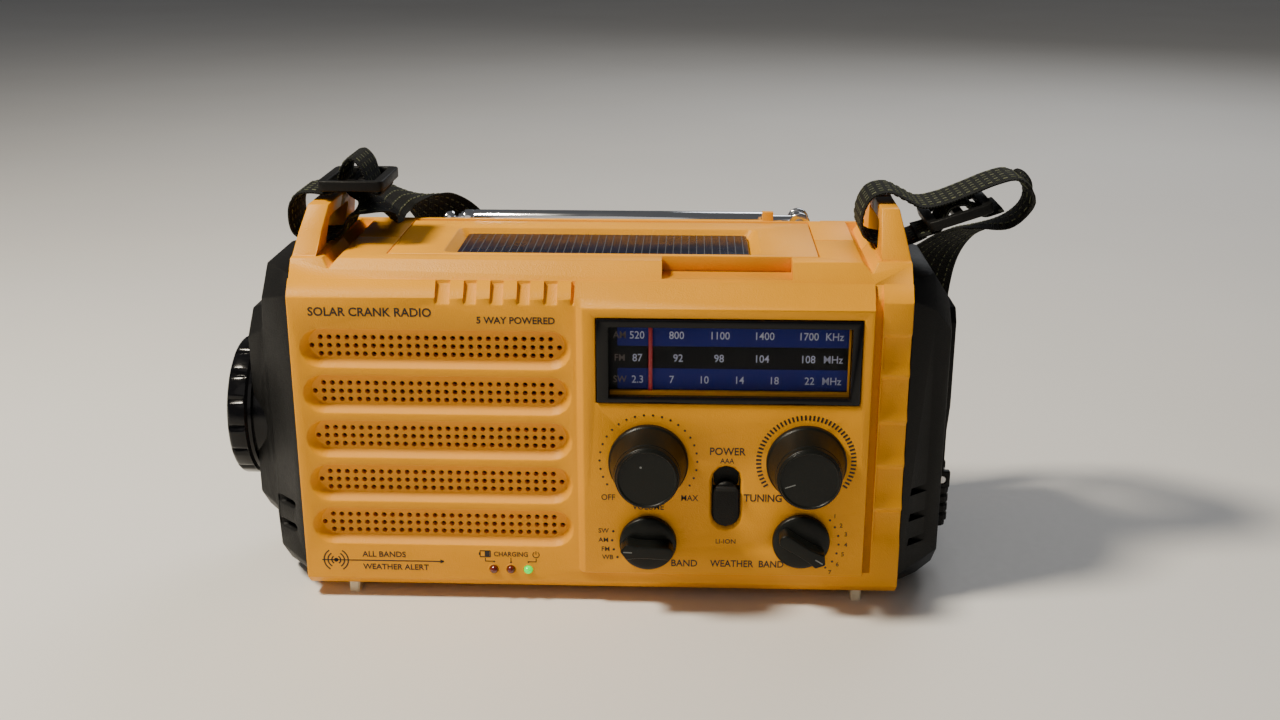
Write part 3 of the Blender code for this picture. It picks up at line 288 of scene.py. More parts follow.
WHITE = moulded("white_diffuser", (0.8, 0.8, 0.76), 0.04, (0.35, 0.5), 1800, 0.00003)
SLEEVE = moulded("battery_sleeve_blue", (0.05, 0.2, 0.45), 0.08, (0.2, 0.35), 900, 0.00003)
NYLON = moulded("natural_nylon", (0.8, 0.8, 0.75), 0.05, (0.4, 0.55), 1500, 0.00003)


def cell_material():
    """Blue-black solar wafer with crystal patches under resin."""
    g = Graph("solar_wafer")
    patches = g.cells(170)
    cloud = g.noise(90, 3)
    tone = g.spread(g.sum(patches, cloud, 0.4), 0.1, 0.9, 0, 1)
    g.colour(g.mix(tone, (0.004, 0.005, 0.011), (0.010, 0.011, 0.024)))
    g.roughness(g.spread(cloud, 0.3, 0.7, 0.25, 0.36))
    g.relief(cloud, 0.00002)
    g.set(Specular_IOR_Level=0.08)
    return g.material


WAFER = cell_material()

SLOT_MATERIALS = {
    "case_yellow": YELLOW, "cap_black": CAP_BLACK, "knob_black": KNOB_BLACK, "gloss_black": GLOSS_BLACK,
    "clear_pane": CLEAR, "dial_print": CARD_BLACK, "pointer_red": RED, "lamp_red": LAMP_RED,
    "lamp_green": LAMP_GREEN, "solar_cell": WAFER, "foot_cream": CREAM, "rubber_black": RUBBER,
    "webbing": WEBBING, "antenna_chrome": CHROME, "steel": STEEL, "board_green": BOARD,
    "cone_paper": PAPER, "white_plastic": WHITE, "battery_blue": SLEEVE, "nylon": NYLON,
    "reflector": REFLECTOR}

SLOT_OF = {row["node"]: row["material_slot"] for row in frame["record"]["subparts"]}
BODY_OF = {node: body for body, nodes in frame["record"]["behaviour"]["bodies"].items() for node in nodes}
for node_name, node in frame["nodes"].items():
    node.data.materials.clear()
    node.data.materials.append(SLOT_MATERIALS[SLOT_OF[node_name]])


# ---------------------------------------------------------------- mesh tools

SHARP_ANGLE = 28.0                      # edges sharper than this are rounded
SMOOTH_ANGLE = 35.0                     # shading is smooth up to this angle
CAPITAL_SHARE = 0.70                    # height of a capital letter in the height of its font


def show(mesh, name, material, smooth=40.0):
    """Links a bmesh as an object with smooth shading up to an angle in degrees."""
    data = bpy.data.meshes.new(name)
    mesh.to_mesh(data)
    mesh.free()
    obj = bpy.data.objects.new(name, data)
    bpy.context.scene.collection.objects.link(obj)
    data.materials.append(material)
    if smooth:
        data.set_sharp_from_angle(angle=math.radians(smooth))
        for face in data.polygons:
            face.use_smooth = True
    return obj


def settle(obj, body, nodes=()):
    """Lets a piece ride on a body and hides the CAD nodes that it stands for."""
    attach(obj, body)
    if nodes:
        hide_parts(*nodes)
    return obj


def apply_modifiers(obj):
    """Bakes an object's modifiers into its mesh."""
    graph = bpy.context.evaluated_depsgraph_get()
    baked = bpy.data.meshes.new_from_object(obj.evaluated_get(graph))
    obj.modifiers.clear()
    obj.data = baked


def mesh_of(node):
    """Copy of a CAD node's mesh with its flat faces joined up."""
    mesh = bmesh.new()
    mesh.from_mesh(frame["nodes"][node].data)
    bmesh.ops.remove_doubles(mesh, verts=mesh.verts, dist=1e-6)
    bmesh.ops.dissolve_limit(mesh, angle_limit=math.radians(0.6), verts=mesh.verts, edges=mesh.edges)
    return mesh


def roomy_edges(mesh, width, angle):
    """Sharp edges that have room for rounding, with no very short edge at either end."""
    limit = math.radians(angle)
    sharp = {e for e in mesh.edges if len(e.link_faces) == 2 and e.calc_face_angle(0) > limit}
    short = {e for e in mesh.edges if e.calc_length() < 2.2 * width}
    return [e for e in sharp if e not in short
            and not any(other in short for vert in e.verts for other in vert.link_edges)]


def refined(node, width, material=None, cutter=None):
    """Copy of a CAD node with edges rounded by width millimetres, standing in for the node."""
    mesh = mesh_of(node)
    edges = roomy_edges(mesh, width * MM, SHARP_ANGLE)
    bmesh.ops.bevel(mesh, geom=edges, offset=width * MM, segments=2, profile=0.5, affect="EDGES",
                    clamp_overlap=True, miter_outer="ARC")
    obj = show(mesh, node + "_fine", material or SLOT_MATERIALS[SLOT_OF[node]], 0)
    if cutter:
        hole = obj.modifiers.new("holes", "BOOLEAN")
        hole.solver = "EXACT"
        hole.object = cutter
        apply_modifiers(obj)
        bpy.data.objects.remove(cutter)
    for face in obj.data.polygons:
        face.use_smooth = True
    obj.data.set_sharp_from_angle(angle=math.radians(SMOOTH_ANGLE))
    return settle(obj, BODY_OF[node], [node])


def ring_points(count):
    """Angles in radians, evenly spaced round a full turn."""
    return [math.radians(360.0 * i / count) for i in range(count)]


def lifted(axis, height, u, v):
    """Point of the frame at a height along an axis and at (u, v) across it."""
    return at(*((height, u, v), (u, height, v), (u, v, height))[axis])


def lathe(profile, centre, axis, name, material, steps=96, smooth=SMOOTH_ANGLE, closed=False, wobble=None):
    """Turned solid from (radius, height) millimetres about an axis through a drawing point."""
    mesh = bmesh.new()
    rows = []
    for radius, height in profile:
        row = []
        for angle in ring_points(steps) if radius else [0.0]:
            r = radius * (wobble(angle, height) if wobble else 1)
            u, v = centre[0] + r * math.cos(angle), centre[1] + r * math.sin(angle)
            row.append(mesh.verts.new(lifted(axis, height, u, v)))
        rows.append(row)
    pairs = list(zip(rows, rows[1:])) + ([(rows[-1], rows[0])] if closed else [])
    for first, second in pairs:
        for i in range(steps):
            j = (i + 1) % steps
            corners = [first[i % len(first)], first[j % len(first)],
                       second[j % len(second)], second[i % len(second)]]
            different = list(dict.fromkeys(corners))
            if len(different) > 2:
                mesh.faces.new(different)
    bmesh.ops.recalc_face_normals(mesh, faces=mesh.faces)
    return show(mesh, name, material, smooth)


def add_prism(mesh, points, axis, low, high):
    """Adds a flat outline pushed along an axis to a mesh."""
    rings = [[mesh.verts.new(lifted(axis, height, u, v)) for u, v in points] for height in (low, high)]
    mesh.faces.new(rings[0])
    mesh.faces.new(rings[1])
    join_rings(mesh, rings[0], rings[1])


def join_rings(mesh, first, second):
    """Closes the strip between two rings of points with a face for each side."""
    for i in range(len(first)):
        j = (i + 1) % len(first)
        mesh.faces.new((first[i], first[j], second[j], second[i]))


def slab(points, axis, low, high, name, material, edge=0.0, segments=2, smooth=SMOOTH_ANGLE):
    """Flat outline pushed along an axis, with its edges rounded by edge millimetres."""
    mesh = bmesh.new()
    add_prism(mesh, points, axis, low, high)
    bmesh.ops.recalc_face_normals(mesh, faces=mesh.faces)
    if edge:
        sharp = [e for e in mesh.edges if e.calc_face_angle(0) > math.radians(30)]
        bmesh.ops.bevel(mesh, geom=sharp, offset=edge * MM, segments=segments, profile=0.5,
                        affect="EDGES", clamp_overlap=True)
    return show(mesh, name, material, smooth)


def arc(u, v, radius, start, end, steps):
    """Points on an arc in a plane, angles in degrees."""
    angles = [math.radians(start + (end - start) * i / steps) for i in range(steps + 1)]
    return [(u + radius * math.cos(a), v + radius * math.sin(a)) for a in angles]


def rounded(x0, x1, z0, z1, radius, steps=5):
    """Rectangle with round corners."""
    return (arc(x1 - radius, z0 + radius, radius, -90, 0, steps)
            + arc(x1 - radius, z1 - radius, radius, 0, 90, steps)
            + arc(x0 + radius, z1 - radius, radius, 90, 180, steps)
            + arc(x0 + radius, z0 + radius, radius, 180, 270, steps))


def circle(x, z, radius, steps):
    """Points round a circle in a plane."""
    return [(x + radius * math.cos(a), z + radius * math.sin(a)) for a in ring_points(steps)]


def dots(places, radius, y, name, material):
    """Printed round dots on a face that looks to the front."""
    mesh = bmesh.new()
    for x, z in places:
        add_prism(mesh, circle(x, z, radius, 12), 1, y, y + INK_DEPTH)
    bmesh.ops.recalc_face_normals(mesh, faces=mesh.faces)
    return show(mesh, name, material, 0)


def ticks(places, y, name, material, depth=INK_DEPTH):
    """Printed strokes from (x, z) to (x, z) with a width, on a face that looks to the front."""
    mesh = bmesh.new()
    for (xa, za), (xb, zb), width in places:
        run = Vector((xb - xa, zb - za)).normalized()
        side = Vector((-run.y, run.x)) * width / 2
        flat = [(xa + side.x, za + side.y), (xb + side.x, zb + side.y), (xb - side.x, zb - side.y),
                (xa - side.x, za - side.y)]
        add_prism(mesh, flat, 1, y, y + depth)
    bmesh.ops.recalc_face_normals(mesh, faces=mesh.faces)
    return show(mesh, name, material, 0)


def label(words, x, y, z, size, material, name, weight=0.0, align="CENTER", stretch=1.0, turn=0.0,
          body="case"):
    """Printed lettering that faces the front, or the back at a turn of 180. Size is the capital height."""
    curve = bpy.data.curves.new(name, "FONT")
    curve.body = words
    curve.align_x = align
    curve.align_y = "CENTER"
    curve.size = size * MM / CAPITAL_SHARE
    curve.extrude = 0.03 * MM
    curve.offset = weight * MM
    curve.resolution_u = 3
    curve.materials.append(material)
    obj = bpy.data.objects.new(name, curve)
    bpy.context.scene.collection.objects.link(obj)
    obj.matrix_world = (Matrix.Translation(at(x, y, z)) @ Matrix.Rotation(math.radians(turn), 4, "Z")
                        @ Matrix.Rotation(math.pi / 2, 4, "X") @ Matrix.Diagonal((stretch, 1, 1, 1)))
    return settle(obj, body)


# ---------------------------------------------------------------- case and grille

def grille_drills():
    """All the sound holes in the five slots as one cutter."""
    mesh = bmesh.new()
    for slot in range(SLOT_COUNT):
        for height, first, count in HOLE_ROWS:
            z = SLOT_LOWEST + SLOT_PITCH * slot + height
            for i in range(count):
                add_prism(mesh, circle(first + HOLE_PITCH * i, z, HOLE_RADIUS, 10), 1, 2.2, 6.5)
    bmesh.ops.recalc_face_normals(mesh, faces=mesh.faces)
    return show(mesh, "drills", YELLOW, 0)


def build_case():
    """Shells, caps, lid, door and feet with rounded edges, and the dark cloth behind the grille."""
    refined("front_shell", 0.4, cutter=grille_drills())
    refined("rear_shell", 0.4)
    refined("solar_lid", 0.35)
    refined("battery_door", 0.35)
    refined("left_end_cap", 0.6)
    refined("right_end_cap", 0.6)
    for node in ("front_foot_left", "front_foot_right", "rear_foot", "port_cover", "strap_slider_left",
                 "strap_slider_right", "crank_arm", "antenna_base"):
        refined(node, 0.4)
    cloth = slab(rounded(-90, -7, 14, 92, 4), 1, 5.02, 5.18, "grille_cloth", PAPER)
    settle(cloth, "case")


# ---------------------------------------------------------------- dial

def build_dial():
    """Bezel, pane, printed bands, numbers and the needle."""
    refined("dial_bezel", 0.3)
    refined("dial_window", 0.15, material=PANE)
    refined("dial_pointer", 0.12)
    # The blue bands stop at X 5.5 and leave the black card bare to their left, and the band names there get
    # dim brown ink: this bare black end and the dimness of the names are painted shade of the dial's left
    # end, on real print.
    bands = [("dial_band_am", INK_BLUE, 83.25, 89.2), ("dial_band_fm", CARD_BLACK, 76.4, 83.2),
             ("dial_band_sw", INK_BLUE, 69.9, 76.35)]
    for name, material, low, high in bands:
        outline = rounded(5.5, 73.8, low, high, 0.3, 2)
        settle(slab(outline, 1, 3.10, 3.19, name, material), "case")
    rows = [("am", 86.5, "520 800 1100 1400 1700 KHz", (11.3, 23.0, 35.7, 48.8, 61.8, 69.4)),
            ("fm", 79.5, "87 92 98 104 108 MHz", (11.4, 23.5, 35.6, 48.2, 61.8, 69.2)),
            ("sw", 72.8, "2.3 7 10 14 18 22 MHz", (11.5, 21.6, 31.2, 41.7, 52.0, 62.5, 69.0))]
    for key, z, words, columns in rows:
        for i, (word, x) in enumerate(zip(words.split(), columns)):
            label(word, x, 3.08, z, 2.3, INK_PALE, f"dial_{key}_{i}", 0.015, stretch=0.92)
        label(key.upper(), 6.2, 3.08, z, 2.1, INK_DIM, f"dial_{key}_name", 0.03, stretch=0.9)
    for name, outline in (
            ("dial_ledge_low", [(3.1, 68.6), (74.2, 68.6), (74.2, 69.75), (3.1, 69.75)]),
            ("dial_ledge_right", [(73.6, 69.85), (74.2, 69.85), (74.2, 90.2), (73.6, 90.2)])):
        settle(slab(outline, 1, 1.4, 3.0, name, YELLOW, 0.1), "case")


# ---------------------------------------------------------------- knobs and switch

def polar(centre, radius, angle):
    """Point at a radius and an angle in degrees from a centre."""
    a = math.radians(angle)
    return (centre[0] + radius * math.cos(a), centre[1] + radius * math.sin(a))


def build_round_knob(node, body, centre, mark):
    """Tapered knob with a stepped rim round its face."""
    face = [(0, KNOB_FACE_Y), (8.1, KNOB_FACE_Y), (8.3, -16.22), (8.45, -16.45), (8.62, -16.5), (8.8, -16.4),
            (8.95, KNOB_FACE_Y)]
    rings = [(9.0, -15.72), (9.05, -15.66), (9.3, -15.62), (9.42, -15.5), (9.48, -15.3), (9.72, -14.0),
             (9.62, -13.85), (9.62, -13.6), (9.84, -13.45)]
    skirt = [(11.38, -5.0), (11.55, -4.55), (11.9, -4.25), (12.0, -3.95), (12.0, -2.6), (11.8, -2.35)]
    profile = face + rings + skirt + [(3.0, -2.35), (3.0, SHAFT_END), (0, SHAFT_END)]
    knob = lathe(profile, centre, 1, node + "_fine", KNOB_BLACK, 96, 30)
    settle(knob, body, [node])
    settle(mark, body)


def build_selector(node, body, centre, angle):
    """Low domed disc with a tapered grip bar, one end of it pointed."""
    profile = [(0, -5.15), (3.0, -5.1), (5.5, -4.95), (7.3, -4.65), (8.25, -4.3), (8.6, -3.95), (8.7, -3.5),
               (8.7, -2.5), (8.55, -2.35), (2.5, -2.35), (2.5, SHAFT_END), (0, SHAFT_END)]
    dome = lathe(profile, centre, 1, node + "_fine", KNOB_BLACK, 80)
    shape = arc(-5.6, 0, 2.25, 112, 248, 6) + [(-3, -1.95), (0, -1.88), (3, -1.98), (6.3, -2.55), (8.25, 0),
                                               (6.3, 2.55), (3, 1.98), (0, 1.88), (-3, 1.95)]
    cos, sin = math.cos(math.radians(angle)), math.sin(math.radians(angle))
    flats = [(centre[0] + u * cos - v * sin, centre[1] + u * sin + v * cos) for u, v in shape]
    bar = slab(flats, 1, -10.55, -4.6, node + "_bar", KNOB_BLACK, 0.45, 3, 40)
    settle(dome, body, [node])
    settle(bar, body)
    line = [(polar(centre, 4.6, angle), polar(centre, 7.2, angle), 0.35)]
    settle(ticks(line, -10.6, node + "_line", INK_GREY, 0.1), body)


def build_switch():
    """Black lining of the slot and the slider with its ridge."""
    refined("power_slider", 0.3)
    outline = [(35.3, 39.7), (41.4, 39.7), (41.4, 41.0), (35.3, 41.0)]
    settle(slab(outline, 1, -3.55, -3.3, "slider_ridge", RUBBER, 0.1), "power")
    outer = (arc(SWITCH_X, SWITCH_LOW, SWITCH_RADIUS, 180, 360, 16)
             + arc(SWITCH_X, SWITCH_HIGH, SWITCH_RADIUS, 0, 180, 16))
    inner = (arc(SWITCH_X, SWITCH_LOW, SWITCH_RADIUS - 0.2, 180, 360, 16)
             + arc(SWITCH_X, SWITCH_HIGH + 0.13, SWITCH_RADIUS - 0.16, 0, 180, 16))
    mesh = bmesh.new()
    loops = [[mesh.verts.new(lifted(1, y, u, v)) for u, v in outline] for outline, y in
             ((outer, 0.95), (outer, -1.1), (inner, -1.1), (inner, 0.95))]
    for first, second in zip(loops, loops[1:] + loops[:1]):
        join_rings(mesh, first, second)
    bmesh.ops.recalc_face_normals(mesh, faces=mesh.faces)
    settle(show(mesh, "switch_well_rim", CAP_BLACK), "case")
    for name, outline in (("switch_well_low", rounded(34.6, 42.1, 27.8, 30.8, 1.2, 3)),
                          ("switch_well_high", rounded(34.6, 42.1, 39.8, 46.3, 1.6, 3)),
                          ("switch_well_left", [(34.35, 30.9), (36.5, 30.9), (36.5, 39.9), (34.35, 39.9)]),
                          ("switch_well_right", [(40.0, 30.9), (42.35, 30.9), (42.35, 39.9), (40.0, 39.9)])):
        settle(slab(outline, 1, 0.82, 0.97, name, CAP_BLACK), "case")


def build_controls():
    """Knobs, switch, lamps and everything that is printed round them."""
    mark_y = KNOB_FACE_Y - INK_DEPTH
    dot = dots([polar(VOLUME, 4.1, 116)], 0.34, mark_y, "volume_mark", INK_GREY)
    build_round_knob("volume_knob", "volume", VOLUME, dot)
    stroke = [(polar(TUNING, 4.3, 199), polar(TUNING, 7.5, 199), 0.3)]
    build_round_knob("tuning_knob", "tuning", TUNING, ticks(stroke, mark_y, "tuning_mark", INK_GREY))
    build_selector("band_knob", "band", BAND, 178)
    build_selector("weather_knob", "weather", WEATHER, -32)
    build_switch()
    y = PANEL_Y - 0.05
    places = [polar(VOLUME, 14.7, 212 - 244 * i / (DOT_COUNT - 1)) for i in range(DOT_COUNT)]
    settle(dots(places, 0.36, y, "volume_dots", INK), "case")
    marks = []
    for i in range(TICK_COUNT):
        angle = 213 - 246 * i / (TICK_COUNT - 1)
        marks.append((polar(TUNING, 13.4, angle), polar(TUNING, 15.0, angle), 0.58))
    settle(ticks(marks, y, "tuning_ticks", INK), "case")
    settle(dots([(4.16, 25.3), (3.8, 22.25), (4.27, 19.2), (5.4, 16.6)], 0.4, y, "band_dots", INK), "case")
    steps = [(69.98, 30.06), (71.54, 27.75), (72.67, 24.9), (72.9, 22.03), (72.4, 19.04), (71.19, 16.28),
             (69.2, 14.2)]
    settle(dots(steps, 0.36, y, "weather_dots", INK), "case")
    lamps = {"alert_led": LAMP_RED, "charging_led": LAMP_RED, "power_led": LAMP_GREEN}
    for node, material in lamps.items():
        low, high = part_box(node)
        x = ((low.x + high.x) / 2 - DATUM.x) / MM
        profile = [(0, -1.55), (0.5, -1.45), (0.95, -1.1), (1.25, -0.6), (1.38, 0.0), (1.4, 0.5), (1.4, 6.9),
                   (0, 6.9)]
        settle(lathe(profile, (x, LAMP_Z), 1, node + "_fine", material, 32), "case", [node])
        rim = lathe([(1.45, -0.12), (1.75, -0.12), (1.85, -0.02), (1.85, 0.2), (1.45, 0.2)], (x, LAMP_Z), 1,
                    node + "_rim", YELLOW, 32, 30, True)
        settle(rim, "case")


# Words on the panel: text, X, Z, capital height, stretch
PANEL_WORDS = (
    ("POWER", 38.5, 51.9, 2.35, 0.92), ("AAA", 38.5, 48.9, 1.6, 0.9), ("LI-ION", 38.5, 22.4, 1.45, 1.05),
    ("TUNING", 49.5, 36.9, 2.35, 0.9), ("BAND", 25.9, 14.8, 2.2, 0.95),
    ("WEATHER  BAND", 45.2, 14.9, 2.2, 0.9), ("OFF", 2.65, 36.5, 1.9, 0.9), ("MAX", 27.3, 36.6, 1.9, 0.9),
    ("VOLUME", 14.85, 33.5, 1.9, 0.9), ("SW", 1.15, 25.4, 1.5, 1.0), ("AM", 1.15, 22.3, 1.5, 1.0),
    ("FM", 1.75, 19.25, 1.5, 1.0), ("WB", 2.4, 16.5, 1.5, 1.0))
WEATHER_NUMBERS = ((71.4, 31.4), (73.4, 28.3), (75.0, 25.4), (75.1, 21.9), (74.3, 18.7), (72.8, 15.3),
                   (70.6, 12.6))
SIGNAL = (-82.6, 13.1)                  # centre of the signal sign


def path_strokes(points, width):
    """Strokes that follow a line of points."""
    return [(a, b, width) for a, b in zip(points, points[1:])]


def signal_strokes():
    """Three arcs on each side of the sign's dot, and the arrow that runs from it."""
    strokes = [((-87.0, 13.1), (-49.0, 13.1), 0.35), ((-49.9, 13.6), (-48.8, 13.1), 0.35),
               ((-49.9, 12.6), (-48.8, 13.1), 0.35)]
    for radius in (1.4, 2.6, 3.8):
        for start in (-58, 122):
            strokes += path_strokes(arc(*SIGNAL, radius, start, start + 116, 8), 0.42)
    return strokes


def lamp_strokes():
    """Battery and power signs over the lamps, and the lines that lead to the lamps."""
    battery = [(-37.4, 15.0), (-34.2, 15.0), (-34.2, 17.0), (-37.4, 17.0), (-37.4, 15.0)]
    filled = [((-37.8, 16.0), (-37.4, 16.0), 0.9), ((-35.2, 15.1), (-35.2, 16.9), 1.5)]
    power = path_strokes(arc(-20.0, 15.9, 1.0, 125, 415, 12), 0.28) + [((-20.0, 16.0), (-20.0, 17.1), 0.28)]
    leads = [((-35.8, 14.6), (-35.8, 13.5), 0.25), ((-35.9, 13.5), (-33.2, 13.5), 0.25),
             ((-27.85, 14.7), (-27.85, 13.3), 0.25), ((-20.0, 14.5), (-20.0, 13.5), 0.25),
             ((-19.9, 13.5), (-22.3, 13.5), 0.25)]
    return path_strokes(battery, 0.3) + filled + power + leads


def build_labels():
    """Plain generic lettering and signs on the front."""
    y = PANEL_Y - 0.04
    for words, x, z, size, stretch in PANEL_WORDS:
        name = "label_" + words.lower().replace(" ", "").replace("-", "")
        label(words, x, y, z, size, INK, name, 0.05 if size > 2 else 0.02, stretch=stretch)
    for i, (x, z) in enumerate(WEATHER_NUMBERS):
        label(str(i + 1), x, y, z, 1.35, INK, f"label_weather_{i + 1}", 0.02)
    face = -0.04
    label("SOLAR CRANK RADIO", -85.8, face, 93.6, 2.6, INK, "label_title", 0.07, "LEFT", 0.98)
    label("5 WAY POWERED", -24.3, face, 91.5, 2.05, INK, "label_five_way", 0.06, stretch=0.98)
    label("CHARGING", -27.8, face, 15.9, 1.55, INK, "label_charging", 0.03, stretch=0.93)
    label("ALL BANDS", -74.2, face, 15.2, 1.85, INK, "label_all_bands", 0.04, "LEFT")
    label("WEATHER ALERT", -74.2, face, 10.9, 1.85, INK, "label_alert", 0.04, "LEFT")
    settle(ticks(signal_strokes() + lamp_strokes(), -0.05, "front_strokes", INK), "case")
    settle(dots([(-33.1, 13.4), (-27.85, 13.2), (-22.4, 13.4)], 0.3, -0.05, "lamp_arrows", INK), "case")
    settle(dots([SIGNAL], 0.7, -0.05, "signal_dot", INK), "case")


# ---------------------------------------------------------------- solar cell, antenna, light

def build_solar():
    """Wafer with thin grey fingers across it."""
    refined("solar_panel", 0.2)
    low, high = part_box("solar_panel")
    x0, x1 = ((low.x - DATUM.x) / MM, (high.x - DATUM.x) / MM)
    y0, y1 = ((low.y - DATUM.y) / MM, (high.y - DATUM.y) / MM)
    z = high.z / MM
    margin, half = 1.6, 0.11
    mesh = bmesh.new()
    for i in range(FINGER_COUNT):
        x = x0 + margin + (x1 - x0 - 2 * margin) * i / (FINGER_COUNT - 1)
        finger = [(x - half, y0 + 0.8), (x + half, y0 + 0.8), (x + half, y1 - 0.8), (x - half, y1 - 0.8)]
        add_prism(mesh, finger, 2, z - 0.02, z + 0.03)
    bmesh.ops.recalc_face_normals(mesh, faces=mesh.faces)
    settle(show(mesh, "solar_fingers", FINGER_GREY, 0), "lid")


def build_antenna():
    """Chrome tubes with rolled ends, the tip button and the knuckle."""
    rolled_end = [(2.62, -48.9), (2.8, -49.0), (2.95, -48.9), (3.0, -48.7), (3.0, -46.2), (2.86, -45.9),
                  (2.86, -45.5), (3.0, -45.2)]
    neck = [(3.0, 52.2), (2.8, 52.8), (2.4, 53.0), (1.95, 53.2), (1.9, 53.6), (1.9, 59.9), (0, 59.9)]
    tube = lathe(rolled_end + neck + [(0, 51.0), (2.62, 51.0)], ANTENNA_AXIS, 0, "antenna_tube_fine", CHROME,
                 48, 30, True)
    settle(tube, "antenna", ["antenna_tube_1"])
    profile = [(1.3, 65.2), (2.7, 65.2), (3.0, 65.5), (3.0, 69.5), (2.7, 69.8), (1.3, 69.8)]
    knuckle = lathe(profile, ANTENNA_PIVOT, 1, "antenna_knuckle", CHROME, 40, 30, True)
    settle(knuckle, "antenna")
    tip = (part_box("antenna_rod")[0].x - DATUM.x) / MM
    button = [(0, 0), (1.3, 0.05), (2.0, 0.3), (2.5, 0.9), (2.6, 1.5), (2.6, 2.8), (2.4, 3.3), (1.9, 3.7),
              (0.8, 3.8)]
    profile = [(radius, tip + height) for radius, height in button] + [(0.8, 45.9), (0, 45.9)]
    end = lathe(profile, ANTENNA_AXIS, 0, "antenna_tip_fine", CHROME, 40, 30)
    settle(end, "antenna_4", ["antenna_rod"])
    profile = [(0, 62.95), (1.5, 62.95), (1.7, 63.05), (1.0, 63.12), (1.0, 71.88), (1.7, 71.95), (1.5, 72.05),
               (0, 72.05)]
    pin = lathe(profile, ANTENNA_PIVOT, 1, "antenna_pin_fine", STEEL, 24, 30)
    settle(pin, "case", ["antenna_pin"])


def rim_flutes(angle, height):
    """Share of the radius at a place on the flashlight's rim, which has sixteen flutes."""
    if not -117.6 < height < -112.6:
        return 1
    return 1 - 0.045 * max(0.0, math.cos(16 * angle)) ** 6


def build_light():
    """Fluted flashlight rim, crowned lens and the lamp behind it."""
    profile = [(20.2, -104.0), (20.2, -110.3), (21.6, -110.4), (21.7, -111.4), (22.4, -112.2), (22.5, -112.9),
               (22.5, -116.6), (22.3, -117.2), (21.8, -117.75), (21.2, -118.0), (18.9, -118.0),
               (18.3, -117.8), (17.9, -117.2), (17.8, -116.6), (17.8, -104.0)]
    rim = lathe(profile, LIGHT_AXIS, 0, "flashlight_rim_fine", GLOSS_BLACK, 192, 30, True, rim_flutes)
    settle(rim, "case", ["flashlight_bezel"])
    profile = [(0, -115.95), (4, -115.93), (9, -115.85), (14, -115.72), (16.4, -115.6), (17.3, -115.4),
               (17.5, -115.1), (17.5, -114.1), (0, -114.1)]
    lens = lathe(profile, LIGHT_AXIS, 0, "flashlight_lens_fine", CLEAR, 64, 40)
    settle(lens, "case", ["flashlight_lens"])
    profile = [(0, -104.2), (0.9, -104.0), (1.7, -103.3), (2.1, -102.2), (2.2, -100.8), (0, -100.8)]
    bulb = lathe(profile, LIGHT_AXIS, 0, "flashlight_lamp", WHITE, 32)
    settle(bulb, "case")


# ---------------------------------------------------------------- strap

# Middle line of the strap: X, Z of the loops at the lugs, and points with the direction across between them
STRAP_LEFT = [(-67.5, 123.7), (-70.6, 124.8), (-71.9, 128.0), (-73.2, 132.0), (-76.0, 134.6), (-78.8, 132.2),
              (-80.0, 128.6), (-80.9, 125.2), (-84.2, 123.8), (-88.4, 124.2), (-92.8, 123.7), (-95.6, 120.3),
              (-96.0, 115.0), (-94.6, 111.2), (-90.8, 109.6), (-86.5, 109.5), (-82.6, 110.0), (-79.6, 112.6),
              (-77.6, 116.2)]
STRAP_MIDDLE = [((-73.4, 36.0, 118.8), (-0.3, 0.9, 0.3)), ((-72.3, 43.5, 118.0), (-0.72, 0.3, 0.6)),
                ((-73.6, 50.0, 117.2), (-0.79, 0, 0.61)), ((-73.9, 58.0, 117.2), (-0.79, 0, 0.62)),
                ((-72.5, 66.0, 116.8), (-0.88, 0.1, 0.45)), ((-67.0, 74.0, 113.5), (-0.93, 0.3, 0.1)),
                ((-59.5, 79.5, 107.0), (-0.82, 0.25, -0.4)), ((-50.5, 81.0, 97.0), (-0.82, 0, -0.57)),
                ((-43.5, 80.5, 80.0), (-0.96, 0, -0.28)), ((-40.5, 79.5, 58.0), (-1, 0, 0)),
                ((-39.5, 79.5, 36.0), (-1, 0, 0)), ((-37.0, 81.5, 19.0), (-0.95, 0.2, 0)),
                ((-31.0, 86.5, 8.5), (-0.65, 0.75, 0.1)), ((-20.0, 90.0, 3.4), (-0.15, 1, 0)),
                ((-4.0, 91.0, 1.0), (0, 1, 0)), ((20.0, 91.0, 0.9), (0, 1, 0)),
                ((44.0, 91.0, 0.9), (0, 1, 0)), ((68.0, 91.0, 1.1), (0, 1, 0)),
                ((84.0, 90.0, 2.8), (-0.15, 1, 0)),
                ((94.0, 88.5, 8.5), (-0.5, 0.8, 0.1)), ((101.5, 87.5, 19.0), (-0.9, 0.3, 0.1)),
                ((105.5, 87.5, 34.0), (-1, 0, 0.1)), ((106.5, 87.5, 56.0), (-1, 0, 0)),
                ((107.0, 86.0, 76.0), (-1, 0, 0)), ((108.5, 80.0, 91.0), (-0.98, -0.15, 0)),
                ((113.0, 70.0, 101.0), (-0.88, -0.45, 0)), ((119.5, 60.0, 107.5), (-0.87, -0.47, 0)),
                ((125.0, 48.5, 113.0), (-0.8, -0.6, -0.2)), ((128.4, 38.5, 119.5), (-0.3, -0.9, -0.3))]
STRAP_RIGHT = [(128.2, 126.0), (124.0, 129.6), (118.0, 128.4), (110.5, 125.2), (103.0, 122.2), (96.5, 121.0),
               (91.5, 123.2), (86.5, 125.4), (81.6, 124.2), (79.0, 120.2), (78.4, 115.2), (80.2, 111.2),
               (84.5, 109.6), (89.5, 109.5), (94.0, 110.3), (98.0, 112.2)]
STRAP_Y, STRAP_WIDTH, STRAP_THICK = 33.75, 20.0, 1.2

